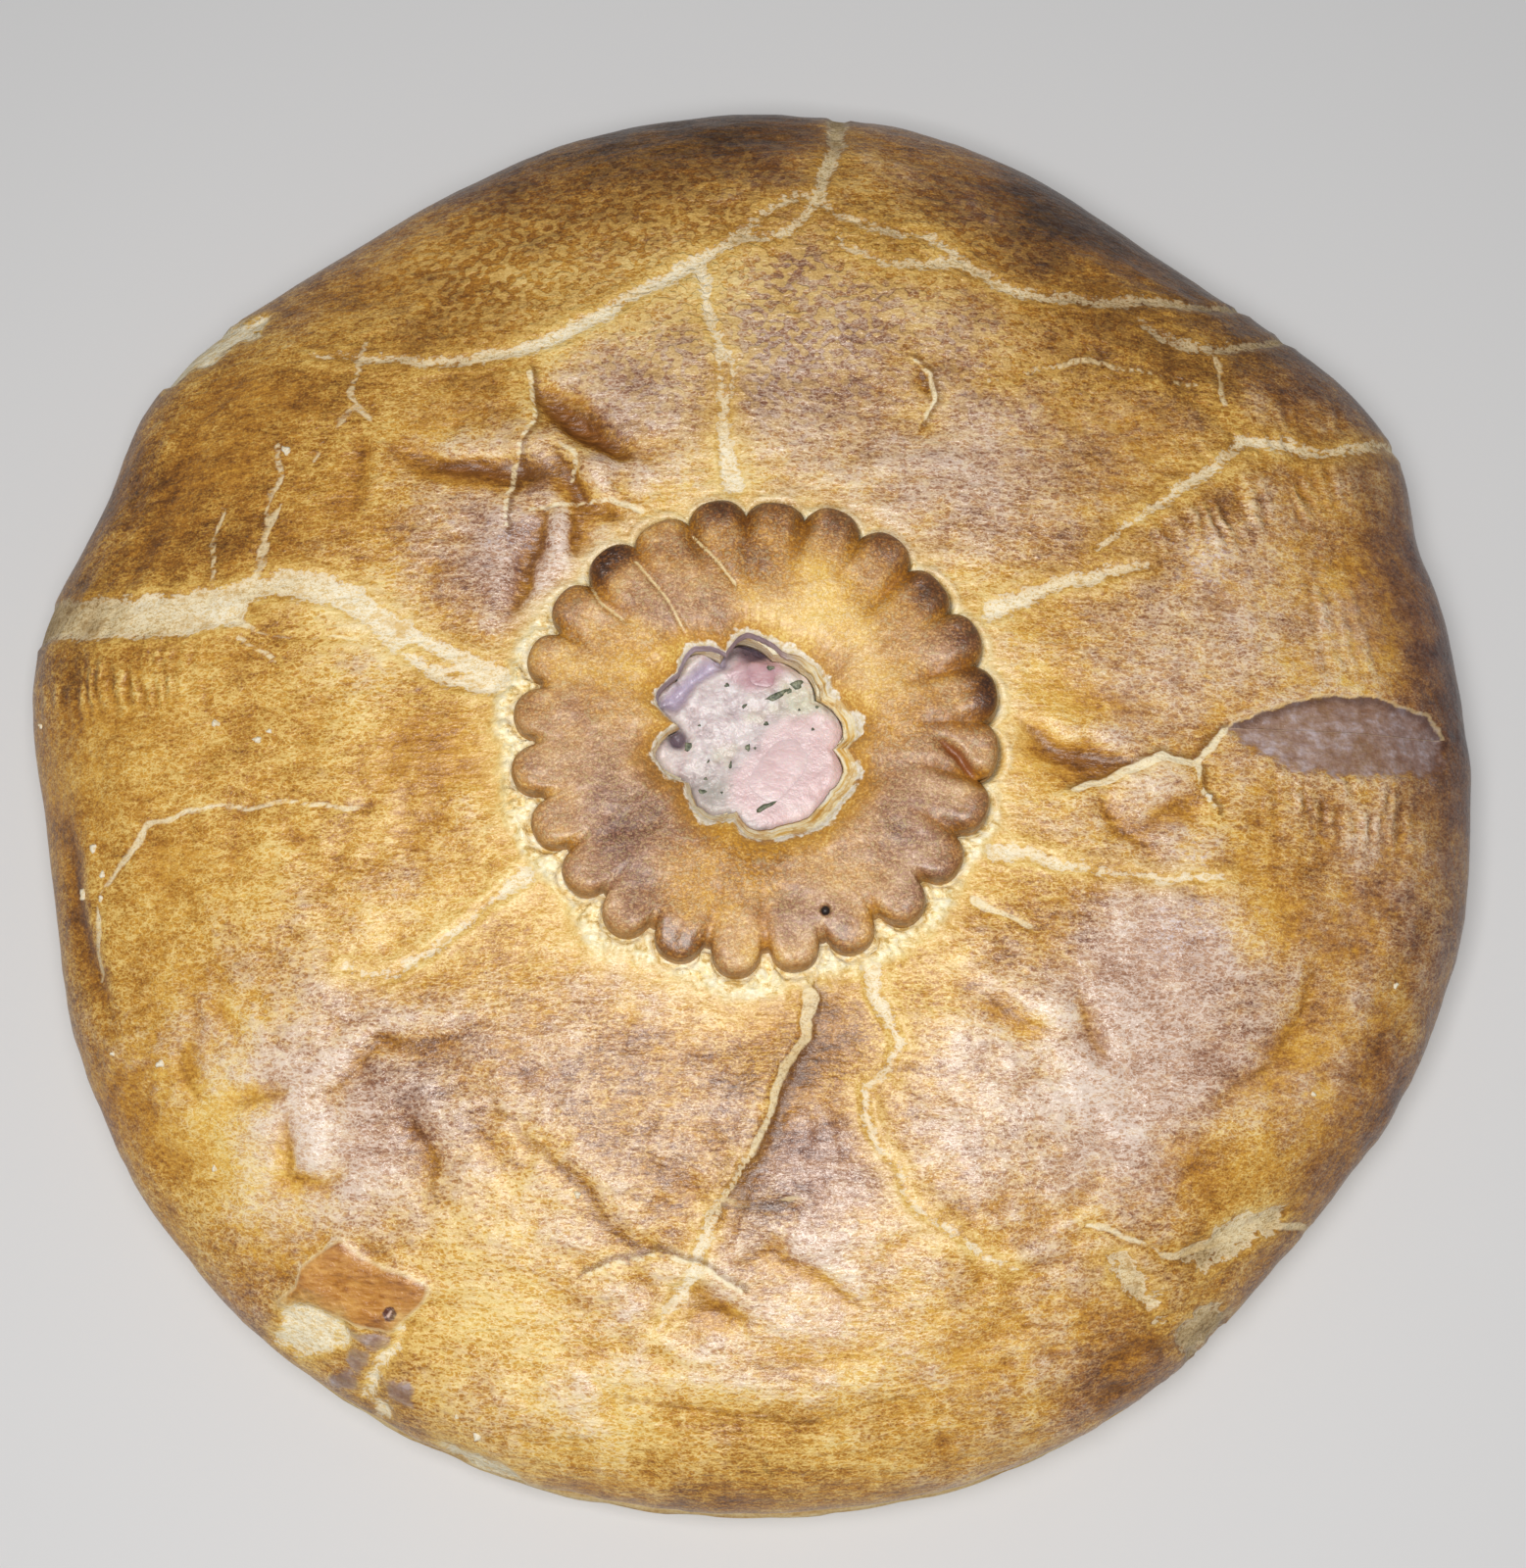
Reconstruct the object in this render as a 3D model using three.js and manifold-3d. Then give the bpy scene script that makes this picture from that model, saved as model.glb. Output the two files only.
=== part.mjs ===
// A large round meat pie: a flat pastry base, a domed glazed lid whose crust has cracked and folded,
// a fluted pastry collar round the vent, and a meat filling that shows in the vent.
// Millimetres, +Z up. The pie stands on z = 0 with its vent over the origin; -Y is its near side.

import * as THREE from "three";
import { mergeVertices } from "three/addons/utils/BufferGeometryUtils.js";
import Module from "manifold-3d";

// Driving dimensions
const PIE_RADIUS = 139; // the lid at its widest, before the bumps of its outline
const WALL_TOP = 24; // height at which the lid is widest
const LID_TOP = 58; // the lid's outer surface at the vent
const DOME_POWER = 3; // a higher power gives a flatter top and a tighter shoulder
const CRUST = 7; // thickness of the lid
const INNER_BUMP = 0.4; // share of the outline's bumps that the crust's inside follows
const WALL_TAPER = 1.5; // how far the wall draws in below its widest height
const BASE_THICKNESS = 5;
const LIP = 1.2; // how far the base stands out past the lid's wall
const GAP = 0.3; // between pieces that touch
const COLLAR_RADIUS = 45;
const COLLAR_THICKNESS = 6.5;
const COLLAR_SEAT = 39; // under the collar, where the vent's shape has faded out of the lid
const FLUTES = 24;
const FLUTE_DEPTH = 4.2;
const FLUTE_START = 10; // degrees, the tip of the first flute
const FLUTE_SWELL = 1.5; // how far a flute's end rises over the groove beside it
const VENT_RADIUS = 19; // about the middle of the radii of the vent's lobes
const LEDGE = 0.8; // how far the lid's own hole shows inside the collar's
const LEDGE_SHIFT = new THREE.Vector2(-1.4, 1.2);
const FILLING_CLEAR = 1.8; // between the filling and the wall of the lid's hole
const FILLING_RISE = 3.6; // how far the filling rises into the lid's hole
const FILLING_LUMP = 0.9;

// The collar's section: [share of the way from the vent to a flute's end, share of its thickness]
const COLLAR_SECTION = [
  [0, 0],
  [1, 0],
  [1, 0.55],
  [0.95, 0.92],
  [0.86, 1],
  [0.68, 0.9],
  [0.4, 0.86],
  [0.1, 0.95],
  [0, 0.75],
];
const FLUTE_ROOT = 0.62; // share of that way where the grooves between the flutes begin

// The vent was cut by hand and has shrunk unevenly: for each lobe its direction in degrees, its radius,
// and how far the cusp after it reaches inwards
const VENT_LOBES = [
  [5, 18.6, 2.4],
  [52, 16.6, 1.5],
  [94, 18.9, 3.2],
  [126, 20, 1.6],
  [157, 19.6, 5],
  [192, 19.1, 2.7],
  [240, 18.4, 2.5],
  [272, 20.2, 0.3],
  [303, 21, 0.5],
  [335, 20.3, 2.3],
];

// Where the lid's edge stands out or falls in: [direction in degrees, spread in degrees, amount]
const OUTLINE_BUMPS = [
  [20, 4, -1.5],
  [30, 9, 4.5],
  [54, 13, -4],
  [122, 15, -3],
  [146, 9, 5],
  [170, 9, 4],
  [191, 9, -2],
  [226, 24, 2.6],
  [318, 15, -3.4],
];

// Low swells of the crust: [waves round the pie, waves from middle to edge, height]
const SWELLS = [
  [3, 0.9, 0.9],
  [5, 1.7, 0.6],
  [8, 2.6, 0.4],
];

// Cracks where the crust has parted, and folds where it has sunk: width, depth, and a route of
// [direction in degrees, distance from the middle]
const CRACKS = [
  { width: 8, depth: 1.0, route: [[168, 139], [167, 120], [164, 101], [160, 88], [161, 76], [167, 52]] },
  { width: 4.5, depth: 0.9, route: [[83, 136], [83, 117], [87, 106], [104, 97], [121, 90.5], [130, 100]] },
  { width: 3, depth: 0.8, route: [[76, 98], [69, 103.5], [62, 103.5], [53, 114], [45, 132]] },
  { width: 3, depth: 0.7, route: [[96, 95], [94.5, 75], [95, 53]] },
  { width: 2.8, depth: 0.7, route: [[50, 115], [44, 117.5], [40, 136]] },
  { width: 3.6, depth: 0.9, route: [[27.5, 139], [29, 121], [33, 109], [31.5, 93], [31, 79]] },
  { width: 4, depth: 0.8, route: [[29.5, 53], [28, 61], [25, 80]] },
  { width: 3, depth: 0.9, route: [[352, 60], [356, 71], [357.5, 80]] },
  { width: 2.6, depth: 0.7, route: [[334, 52], [337, 61], [340, 75], [343.5, 90]] },
  { width: 2.6, depth: 0.8, route: [[282, 52], [275, 61], [266.5, 84], [263.5, 98], [260.5, 109]] },
  { width: 3, depth: 0.8, route: [[295, 52], [294.5, 62], [286.5, 70], [287, 81], [295, 106]] },
  { width: 3, depth: 0.8, route: [[212, 52], [213.5, 66], [213.8, 80]] },
  { width: 2.4, depth: 0.7, route: [[190, 71], [187, 92], [187, 113], [196, 128]] },
  { width: 2.8, depth: 0.9, route: [[304, 106], [307.5, 116], [312.5, 125], [320, 137]] },
];
const FOLDS = [
  { width: 6.5, depth: 1.8, route: [[121, 81], [119.5, 70], [116, 59]] },
  { width: 5.5, depth: 1.5, route: [[140, 81], [139.5, 74], [135, 64]] },
  { width: 4.5, depth: 1.4, route: [[128, 68], [130.5, 56]] },
  { width: 3, depth: 1.1, route: [[230, 79], [240.5, 84], [249.5, 87], [260, 96]] },
  { width: 3, depth: 1.1, route: [[219.5, 103], [219.5, 90], [224, 80]] },
  { width: 5, depth: 1.4, route: [[359.5, 53], [357, 61], [357, 71]] },
];

// Places where the top layer has peeled or torn away: direction, distance, reach out from the
// middle, reach across, depth
const PEELS = [
  [1, 110, 22, 8.5, 0.9],
  [142, 132, 5, 11, 0.9],
  [232.5, 131, 6, 7, 2],
  [236.5, 136, 4, 5, 1.6],
  [298, 112, 6, 3.5, 1],
  [308, 131, 6, 7, 1.8],
];

// A flake of crust that has lifted at the near left edge
const FLAKE = { direction: 234.5, distance: 119, across: 22, out: 10, thickness: 2.2, sunk: 1 };

// Chunks of meat in the vent, rounded blocks set in the filling: place of the middle over the
// lid's underside, half sizes, turn in degrees
const CHUNK_ROUNDNESS = 0.6; // 1 gives an egg, 0 a brick
const CHUNKS = {
  meat_chunk_large: { middle: [4.2, -5.6, -0.8], half: [11.2, 6.8, 5], turn: 52, colour: 0xe3bfc0 },
  meat_chunk_small: { middle: [1.2, 12.2, 1], half: [4.2, 3.2, 3], turn: -10, colour: 0xc08c92 },
};

// Fineness of the faceted surfaces
const LID_SEGMENTS = 96;
const LID_RINGS = 12;
const INNER_RINGS = 4;
const COLLAR_SEGMENTS = FLUTES * 6;
const BASE_SEGMENTS = 96;
const FILLING_SEGMENTS = 48;
const CRACK_STEP = 9; // length of one step along a crack's route
const CRACK_SIDES = 8;
const EDGE_SHARE = 0.97; // a crack that runs past this share of the radius goes over the edge
const NUDGE = 0.3; // step for finding the slope of the lid

const wasm = await Module();
wasm.setup();

const radians = THREE.MathUtils.degToRad;
const clamp = THREE.MathUtils.clamp;

// Shortest turn from one direction to another, in degrees
function turnBetween(from, to) {
  return THREE.MathUtils.euclideanModulo(to - from + 180, 360) - 180;
}

// The lid's outline: a circle with a smooth bump for each entry of OUTLINE_BUMPS
function rim(degrees) {
  let radius = PIE_RADIUS;
  for (const [direction, spread, amount] of OUTLINE_BUMPS) {
    radius += amount * Math.exp(-((turnBetween(direction, degrees) / spread) ** 2));
  }
  return radius;
}

// The bumps of the outline fade towards the middle of the pie, and less of them shows inside
function bumpedRadius(distance, degrees, amount = 1) {
  const share = distance / PIE_RADIUS;
  return distance * (1 + amount * (rim(degrees) / PIE_RADIUS - 1) * share ** 2);
}

// Round lobes with sharp cusps between them, at unevenly spaced directions
function ventRadius(degrees) {
  const next = VENT_LOBES.findIndex(([direction]) => direction > degrees);
  const [after, afterRadius] = VENT_LOBES.at(Math.max(next, 0));
  const [before, beforeRadius, cusp] = VENT_LOBES.at(next < 0 ? -1 : next - 1);
  const span = THREE.MathUtils.euclideanModulo(after - before, 360);
  const phase = THREE.MathUtils.euclideanModulo(degrees - before, 360) / span;
  const lobes = THREE.MathUtils.lerp(beforeRadius, afterRadius, phase);
  return lobes - cusp * (1 - Math.abs(Math.cos(Math.PI * phase)));
}

// 1 at the tip of a flute and 0 in the groove between two flutes
function fluteTip(degrees) {
  return Math.abs(Math.cos(radians((degrees - FLUTE_START) * FLUTES / 2)));
}

// Height of the lid over the base: a dome with a broad top and a round shoulder, gently swollen
function domeHeight(distance, top, wallTop, reach) {
  const share = clamp(distance / reach, 0, 1);
  return wallTop + (top - wallTop) * Math.sqrt(1 - share ** DOME_POWER);
}

// The swells die away towards the collar and towards the shoulder
function swell(distance, degrees) {
  const share = distance / PIE_RADIUS;
  const fromCollar = THREE.MathUtils.smoothstep(share, 0.37, 0.58);
  const fromEdge = 1 - THREE.MathUtils.smoothstep(share, 0.85, 1);
  let height = 0;
  for (const [round, outward, amount] of SWELLS) {
    height += amount * Math.cos(radians(round * degrees)) * Math.sin(2 * Math.PI * outward * share);
  }
  return height * fromCollar * fromEdge;
}

// A point of the lid's outer surface
function onLid(degrees, distance) {
  const radius = bumpedRadius(distance, degrees);
  const height = domeHeight(distance, LID_TOP, WALL_TOP, PIE_RADIUS) + swell(distance, degrees);
  const turn = radians(degrees);
  return new THREE.Vector3(radius * Math.cos(turn), radius * Math.sin(turn), height);
}

// The lid's own axes at a point: outwards along the surface, round the pie, and away from the crust
function lidAxes(degrees, distance) {
  const reach = Math.min(distance + NUDGE, PIE_RADIUS);
  const out = onLid(degrees, reach).sub(onLid(degrees, reach - 2 * NUDGE)).normalize();
  const round = onLid(degrees + NUDGE, distance).sub(onLid(degrees - NUDGE, distance)).normalize();
  const away = new THREE.Vector3().crossVectors(out, round).normalize();
  return { out, round: new THREE.Vector3().crossVectors(away, out), away };
}

// Turns a closed geometry into a solid that can be cut and joined
function solidOf(geometry) {
  const bare = new THREE.BufferGeometry();
  bare.setAttribute("position", geometry.getAttribute("position"));
  bare.setIndex(geometry.index);
  const merged = mergeVertices(bare, 1e-4);
  const corners = merged.index.array;
  const triangles = [];
  for (let i = 0; i < corners.length; i += 3) {
    const [a, b, c] = corners.slice(i, i + 3);
    if (a !== b && b !== c && c !== a) {
      triangles.push(a, b, c);
    }
  }
  const vertProperties = Float32Array.from(merged.getAttribute("position").array);
  const triVerts = Uint32Array.from(triangles);
  return new wasm.Manifold(new wasm.Mesh({ numProp: 3, vertProperties, triVerts }));
}

// A turned solid whose rings are then placed by a function of the ring and the direction
function turnedSolid(rings, segments, place) {
  const profile = rings.map((ring) => new THREE.Vector2(ring.distance, ring.height));
  const geometry = new THREE.LatheGeometry(profile, segments);
  const position = geometry.getAttribute("position");
  for (let i = 0; i < position.count; i++) {
    const degrees = (360 * Math.floor(i / rings.length) / segments) % 360;
    const { radius, height, shift = new THREE.Vector2() } = place(rings[i % rings.length], degrees);
    const x = radius * Math.cos(radians(degrees)) + shift.x;
    const y = radius * Math.sin(radians(degrees)) + shift.y;
    position.setXYZ(i, x, y, height);
  }
  return solidOf(geometry);
}

// Rings of the dome as shares of its reach: under the collar, beside it, then closer at the shoulder
function domeShares(count) {
  const shares = [VENT_RADIUS / PIE_RADIUS, COLLAR_SEAT / PIE_RADIUS];
  const first = Math.asin((COLLAR_RADIUS / PIE_RADIUS) ** (DOME_POWER / 2));
  for (let i = 0; i <= count; i++) {
    const turn = first + (Math.PI / 2 - first) * i / count;
    shares.push(Math.sin(turn) ** (2 / DOME_POWER));
  }
  return shares;
}

// The bare lid: wall, dome and underside, with the vent's hole through it
function bareLid() {
  const foot = BASE_THICKNESS + GAP;
  const reach = PIE_RADIUS - CRUST;
  const rings = [{ distance: PIE_RADIUS - WALL_TAPER, height: foot }];
  for (const share of domeShares(LID_RINGS).reverse()) {
    const distance = share * PIE_RADIUS;
    rings.push({ distance, height: domeHeight(distance, LID_TOP, WALL_TOP, PIE_RADIUS) });
  }
  for (const share of domeShares(INNER_RINGS)) {
    const distance = share * reach;
    rings.push({ distance, height: domeHeight(distance, LID_TOP - CRUST, WALL_TOP, reach), inside: true });
  }
  rings.push({ distance: reach, height: foot, inside: true });
  rings.push(rings[0]);
  return turnedSolid(rings, LID_SEGMENTS, ({ distance, height, inside }, degrees) => {
    const cut = clamp((COLLAR_SEAT - distance) / (COLLAR_SEAT - VENT_RADIUS), 0, 1);
    const hole = cut * (ventRadius(degrees) - VENT_RADIUS - LEDGE);
    const radius = bumpedRadius(distance, degrees, inside ? INNER_BUMP : 1) + hole;
    const shift = LEDGE_SHIFT.clone().multiplyScalar(cut);
    return { radius, height: height + (inside ? 0 : swell(distance, degrees)), shift };
  });
}

// A round-bottomed trench along a route on the lid, fading out at an end that lies on the crust
function trench({ width, depth, route }) {
  const bore = (width ** 2 / 4 + depth ** 2) / (2 * depth);
  let length = 0;
  for (let i = 1; i < route.length; i++) {
    length += onLid(...route[i]).distanceTo(onLid(...route[i - 1]));
  }
  const steps = Math.max(4, Math.round(length / CRACK_STEP));
  const plan = new THREE.SplineCurve(route.map((stop) => new THREE.Vector2(...stop)));
  const points = plan.getPoints(steps).map(({ x: degrees, y }, i) => {
    const distance = Math.min(y, PIE_RADIUS);
    const isEnd = i === 0 || i === steps;
    const fade = isEnd && distance < EDGE_SHARE * PIE_RADIUS ? 0.8 * depth : 0;
    const { away } = lidAxes(degrees, distance);
    return onLid(degrees, distance).addScaledVector(away, bore - depth + fade);
  });
  const section = new THREE.Shape();
  section.moveTo(bore, 0);
  for (let i = 1; i < CRACK_SIDES; i++) {
    const turn = 2 * Math.PI * i / CRACK_SIDES;
    section.lineTo(bore * Math.cos(turn), bore * Math.sin(turn));
  }
  const extrudePath = new THREE.CatmullRomCurve3(points);
  return solidOf(new THREE.ExtrudeGeometry(section, { steps, extrudePath, bevelEnabled: false }));
}

// Moves a geometry to a place on the lid, its z axis away from the crust and its x axis outwards
function placedOnLid(geometry, degrees, distance, lift) {
  const { out, round, away } = lidAxes(degrees, distance);
  const matrix = new THREE.Matrix4().makeBasis(out, round, away);
  matrix.setPosition(onLid(degrees, distance).addScaledVector(away, lift));
  return geometry.applyMatrix4(matrix);
}

// A shallow dish: the lower cap of a flattened ball, three times as deep as the dish
function dish([degrees, distance, out, across, depth]) {
  const ball = new THREE.SphereGeometry(1, 14, 10);
  const half = 3 * depth;
  const capShare = Math.sqrt(1 - ((half - depth) / half) ** 2);
  ball.scale(out / capShare, across / capShare, half);
  return solidOf(placedOnLid(ball, degrees, distance, half - depth));
}

// A thin four-sided plate of crust, one side narrower, lying partly sunk in the lid
function liftedFlake({ direction, distance, across, out, thickness, sunk }) {
  const plate = new THREE.Shape();
  plate.moveTo(-out / 2, -across / 2);
  plate.lineTo(0.6 * out, -0.42 * across);
  plate.lineTo(out / 2, 0.38 * across);
  plate.lineTo(-0.4 * out, across / 2);
  const geometry = new THREE.ExtrudeGeometry(plate, { depth: thickness, bevelEnabled: false });
  return solidOf(placedOnLid(geometry, direction, distance, -sunk));
}

function lid() {
  let crust = bareLid().add(liftedFlake(FLAKE));
  for (const route of [...CRACKS, ...FOLDS]) {
    crust = crust.subtract(trench(route));
  }
  for (const peel of PEELS) {
    crust = crust.subtract(dish(peel));
  }
  return crust;
}

// The collar: a flat ring with fluted ends outside and the vent's lobes inside
function collar() {
  const rings = COLLAR_SECTION.map(([share, rise]) => ({ distance: share, height: rise }));
  rings.push(rings[0]);
  return turnedSolid(rings, COLLAR_SEGMENTS, ({ distance: share, height: rise }, degrees) => {
    const tip = fluteTip(degrees);
    const inner = ventRadius(degrees);
    const outer = COLLAR_RADIUS - FLUTE_DEPTH * (1 - tip);
    const radius = inner + share * (outer - inner);
    const floor = domeHeight(radius, LID_TOP, WALL_TOP, PIE_RADIUS) + GAP;
    const groove = FLUTE_SWELL * (1 - tip) * THREE.MathUtils.smoothstep(share, FLUTE_ROOT, 1);
    return { radius, height: floor + rise * (COLLAR_THICKNESS - groove) };
  });
}

// The base: a flat disc whose rounded lip follows the lid's outline
function base() {
  const rings = [
    { distance: 0, height: 0 },
    { distance: PIE_RADIUS - 2.5, height: 0 },
    { distance: PIE_RADIUS + LIP - 0.5, height: 0.25 * BASE_THICKNESS },
    { distance: PIE_RADIUS + LIP, height: 0.65 * BASE_THICKNESS },
    { distance: PIE_RADIUS + LIP - 1.4, height: BASE_THICKNESS },
    { distance: 0, height: BASE_THICKNESS },
  ];
  return turnedSolid(rings, BASE_SEGMENTS, ({ distance, height }, degrees) => (
    { radius: bumpedRadius(distance, degrees), height }
  ));
}

// A chunk of meat as a rounded block, grown by the gap that the filling keeps to it
function chunk({ middle, half, turn }, grow) {
  const ball = new THREE.SphereGeometry(1, 16, 10);
  ball.rotateX(Math.PI / 2);
  const position = ball.getAttribute("position");
  const blocky = (value) => Math.sign(value) * Math.abs(value) ** CHUNK_ROUNDNESS;
  for (let i = 0; i < position.count; i++) {
    position.setXYZ(i, blocky(position.getX(i)), blocky(position.getY(i)), blocky(position.getZ(i)));
  }
  ball.scale(half[0] + grow, half[1] + grow, half[2] + grow);
  ball.rotateZ(radians(turn));
  ball.translate(middle[0], middle[1], LID_TOP - CRUST + middle[2]);
  return solidOf(ball);
}

// The filling: it fills the crust and rises, lumpy, in the vent
function filling() {
  const clear = 2 * GAP;
  const reach = PIE_RADIUS - CRUST - clear;
  const under = LID_TOP - CRUST - clear;
  const rings = [
    { distance: 0, height: BASE_THICKNESS + GAP },
    { distance: reach, height: BASE_THICKNESS + GAP },
  ];
  for (const share of domeShares(INNER_RINGS).reverse()) {
    const distance = share * reach;
    rings.push({ distance, height: domeHeight(distance, under, WALL_TOP - clear, reach) });
  }
  for (const [share, rise] of [[1, 0], [1, 0.7], [0.9, 0.9], [0.6, 1], [0, 1]]) {
    const height = under + rise * (clear + FILLING_RISE);
    rings.push({ distance: share * VENT_RADIUS, height, share, lump: share < 0.8 ? 1 : 0 });
  }
  return turnedSolid(rings, FILLING_SEGMENTS, ({ distance, height, share, lump = 0 }, degrees) => {
    if (share === undefined) {
      return { radius: bumpedRadius(distance, degrees, INNER_BUMP), height };
    }
    const ripple = Math.sin(radians(5 * degrees) + 0.4 * distance) * share;
    const radius = share * (ventRadius(degrees) - LEDGE - FILLING_CLEAR);
    return { radius, height: height + FILLING_LUMP * lump * ripple, shift: LEDGE_SHIFT };
  });
}

// A named piece with its own finish
function mesh(name, solid, color, roughness) {
  const { vertProperties, triVerts } = solid.getMesh();
  const geometry = new THREE.BufferGeometry();
  geometry.setAttribute("position", new THREE.BufferAttribute(vertProperties, 3));
  geometry.setIndex(new THREE.BufferAttribute(triVerts, 1));
  geometry.computeVertexNormals();
  const finish = new THREE.MeshStandardMaterial({ color, roughness, metalness: 0 });
  const piece = new THREE.Mesh(geometry, finish);
  piece.name = name;
  return piece;
}

const pie = new THREE.Group();
let meat = filling();
for (const [name, shape] of Object.entries(CHUNKS)) {
  meat = meat.subtract(chunk(shape, GAP));
  pie.add(mesh(name, chunk(shape, 0), shape.colour, 0.35));
}
pie.add(mesh("filling", meat, 0xd2c6c4, 0.4));
pie.add(mesh("base", base(), 0xdcc08a, 0.75));
pie.add(mesh("lid", lid(), 0xc08c48, 0.4));
pie.add(mesh("collar", collar(), 0xb98445, 0.38));

export default pie;
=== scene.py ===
# %% [markdown]
# # A large round meat pie
#
# The pie is a flat pastry base, a domed lid of glazed crust, a fluted pastry collar round a vent, and
# a pale meat filling that shows in the vent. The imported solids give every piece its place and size.
# Here each solid gets a finer surface with the cracks, folds and browning that baking gave it.

# %% Load the solids
import math
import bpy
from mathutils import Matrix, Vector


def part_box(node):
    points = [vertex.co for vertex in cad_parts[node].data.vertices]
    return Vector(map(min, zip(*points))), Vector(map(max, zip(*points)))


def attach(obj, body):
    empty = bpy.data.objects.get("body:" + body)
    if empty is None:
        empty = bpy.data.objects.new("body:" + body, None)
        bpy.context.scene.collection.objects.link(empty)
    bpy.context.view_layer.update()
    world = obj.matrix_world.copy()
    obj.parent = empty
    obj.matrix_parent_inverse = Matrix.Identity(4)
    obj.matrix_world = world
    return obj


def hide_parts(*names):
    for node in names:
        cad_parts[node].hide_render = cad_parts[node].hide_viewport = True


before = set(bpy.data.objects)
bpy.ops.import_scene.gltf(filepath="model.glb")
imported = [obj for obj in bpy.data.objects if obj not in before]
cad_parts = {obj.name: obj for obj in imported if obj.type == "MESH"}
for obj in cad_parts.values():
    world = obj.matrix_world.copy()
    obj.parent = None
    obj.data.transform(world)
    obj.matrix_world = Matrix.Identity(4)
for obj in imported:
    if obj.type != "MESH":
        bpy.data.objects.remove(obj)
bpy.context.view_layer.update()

from types import SimpleNamespace

import bpy
import numpy as np

MM = 0.001  # one millimetre in Blender's metres


def solid_box(node):
    """Lowest and highest corner of a solid, in millimetres."""
    return [np.array(corner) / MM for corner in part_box(node)]


for node_name in sorted(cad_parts):
    print(node_name, *[np.round(corner, 1).tolist() for corner in solid_box(node_name)])

# %% [markdown]
# ## Sizes
#
# The driving sizes are read from the solids, so that the finer surfaces lie where the solids are.
# All shapes below are worked out in millimetres and turned into metres when a mesh is made.

# %% Sizes of the pie
lid_low, lid_high = solid_box("lid")
collar_top = solid_box("collar")[1][2]
filling_low, filling_high = solid_box("filling")
base_top = solid_box("base")[1][2]

PIE_RADIUS = lid_high[0]  # the lid at its widest, before the bumps of its outline
LID_FOOT = lid_low[2]
LID_TOP = lid_high[2]
WALL_TOP = 24.0  # height at which the lid is widest
CRUST = 7.0  # thickness of the lid
WALL_TAPER = 1.5  # how far the wall draws in towards its foot
GAP = 0.3  # between pieces that touch
COLLAR_RADIUS = 45.0
COLLAR_THICKNESS = collar_top - LID_TOP
COLLAR_SEAT = 39.0  # under the collar, where the vent's shape has faded out of the lid
VENT_RADIUS = 19.0  # about the middle of the radii of the vent's lobes
LEDGE = 0.8  # how far the lid's own hole shows inside the collar's
LEDGE_SHIFT = (-1.4, 1.2)
FLUTES = 24
FLUTE_DEPTH = 4.2
FLUTE_START = 10.0  # degrees, the tip of the first flute

# The vent was cut by hand: for each lobe its direction, its radius, and how far the cusp after it reaches in
VENT_LOBES = np.array([
    (5, 18.6, 2.4), (52, 16.6, 1.5), (94, 18.9, 3.2), (126, 20, 1.6), (157, 19.6, 5),
    (192, 19.1, 2.7), (240, 18.4, 2.5), (272, 20.2, 0.3), (303, 21, 0.5), (335, 20.3, 2.3),
])

# Where the lid's edge stands out or falls in: direction, spread in degrees, amount
OUTLINE_BUMPS = [
    (20, 4, -1.5), (30, 9, 4.5), (54, 13, -4), (122, 15, -3), (146, 9, 5),
    (170, 9, 4), (191, 9, -2), (226, 24, 2.6), (318, 15, -3.4),
]
print("pie radius", round(PIE_RADIUS, 1), "lid", round(LID_FOOT, 1), "to", round(LID_TOP, 1))

# %% [markdown]
# ## Tools for shapes
#
# Baked crust is never regular, so most of its relief is noise. The noise here is worked out with numpy
# on whole arrays, from a seeded table, so that each run gives the same pie. Cracks are routes on the
# crust, and what matters about a route is how far each point of the surface lies from it. Blender's own
# displacement textures could raise the crust too, but then the relief could not also steer its colours.


# %% Smooth steps and noise
def smooth(low, high, value):
    """0 below low, 1 above high, and the curve 3t^2 - 2t^3 between them."""
    t = np.clip((value - low) / (high - low), 0, 1)
    return t * t * (3 - 2 * t)


def noise(x, y, seed, wrap=256):
    """Random slopes at the corners of a unit lattice, blended smoothly between the corners.

    The values run from about -0.7 to 0.7, and y repeats after wrap cells.
    """
    slopes = np.random.default_rng(seed).uniform(0, 2 * np.pi, (256, 256))
    column, row = np.floor(x).astype(int), np.floor(y).astype(int)
    across, up = x - column, y - row

    def corner(i, j):
        slope = slopes[(column + i) % 256, (row + j) % wrap]
        return np.cos(slope) * (across - i) + np.sin(slope) * (up - j)

    wide, tall = smooth(0, 1, across), smooth(0, 1, up)
    low = corner(0, 0) + wide * (corner(1, 0) - corner(0, 0))
    high = corner(0, 1) + wide * (corner(1, 1) - corner(0, 1))
    return low + tall * (high - low)


def layered_noise(x, y, seed, layers=4, wrap=256):
    """Noise plus the same noise at half the size and half the height, and so on."""
    return sum(
        noise(x * 2**k, y * 2**k, seed + k, min(256, wrap * 2**k)) / 2**k for k in range(layers)
    )


# %% Distance to a route or to the edge of a patch
FINEST = 0.9  # the narrowest line that the crust's grid can carry, in millimetres


def plan(degrees, distance):
    """A place on the pie, given by direction and distance from the middle, as x and y."""
    turn = np.radians(degrees)
    return distance * np.cos(turn), distance * np.sin(turn)


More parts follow.
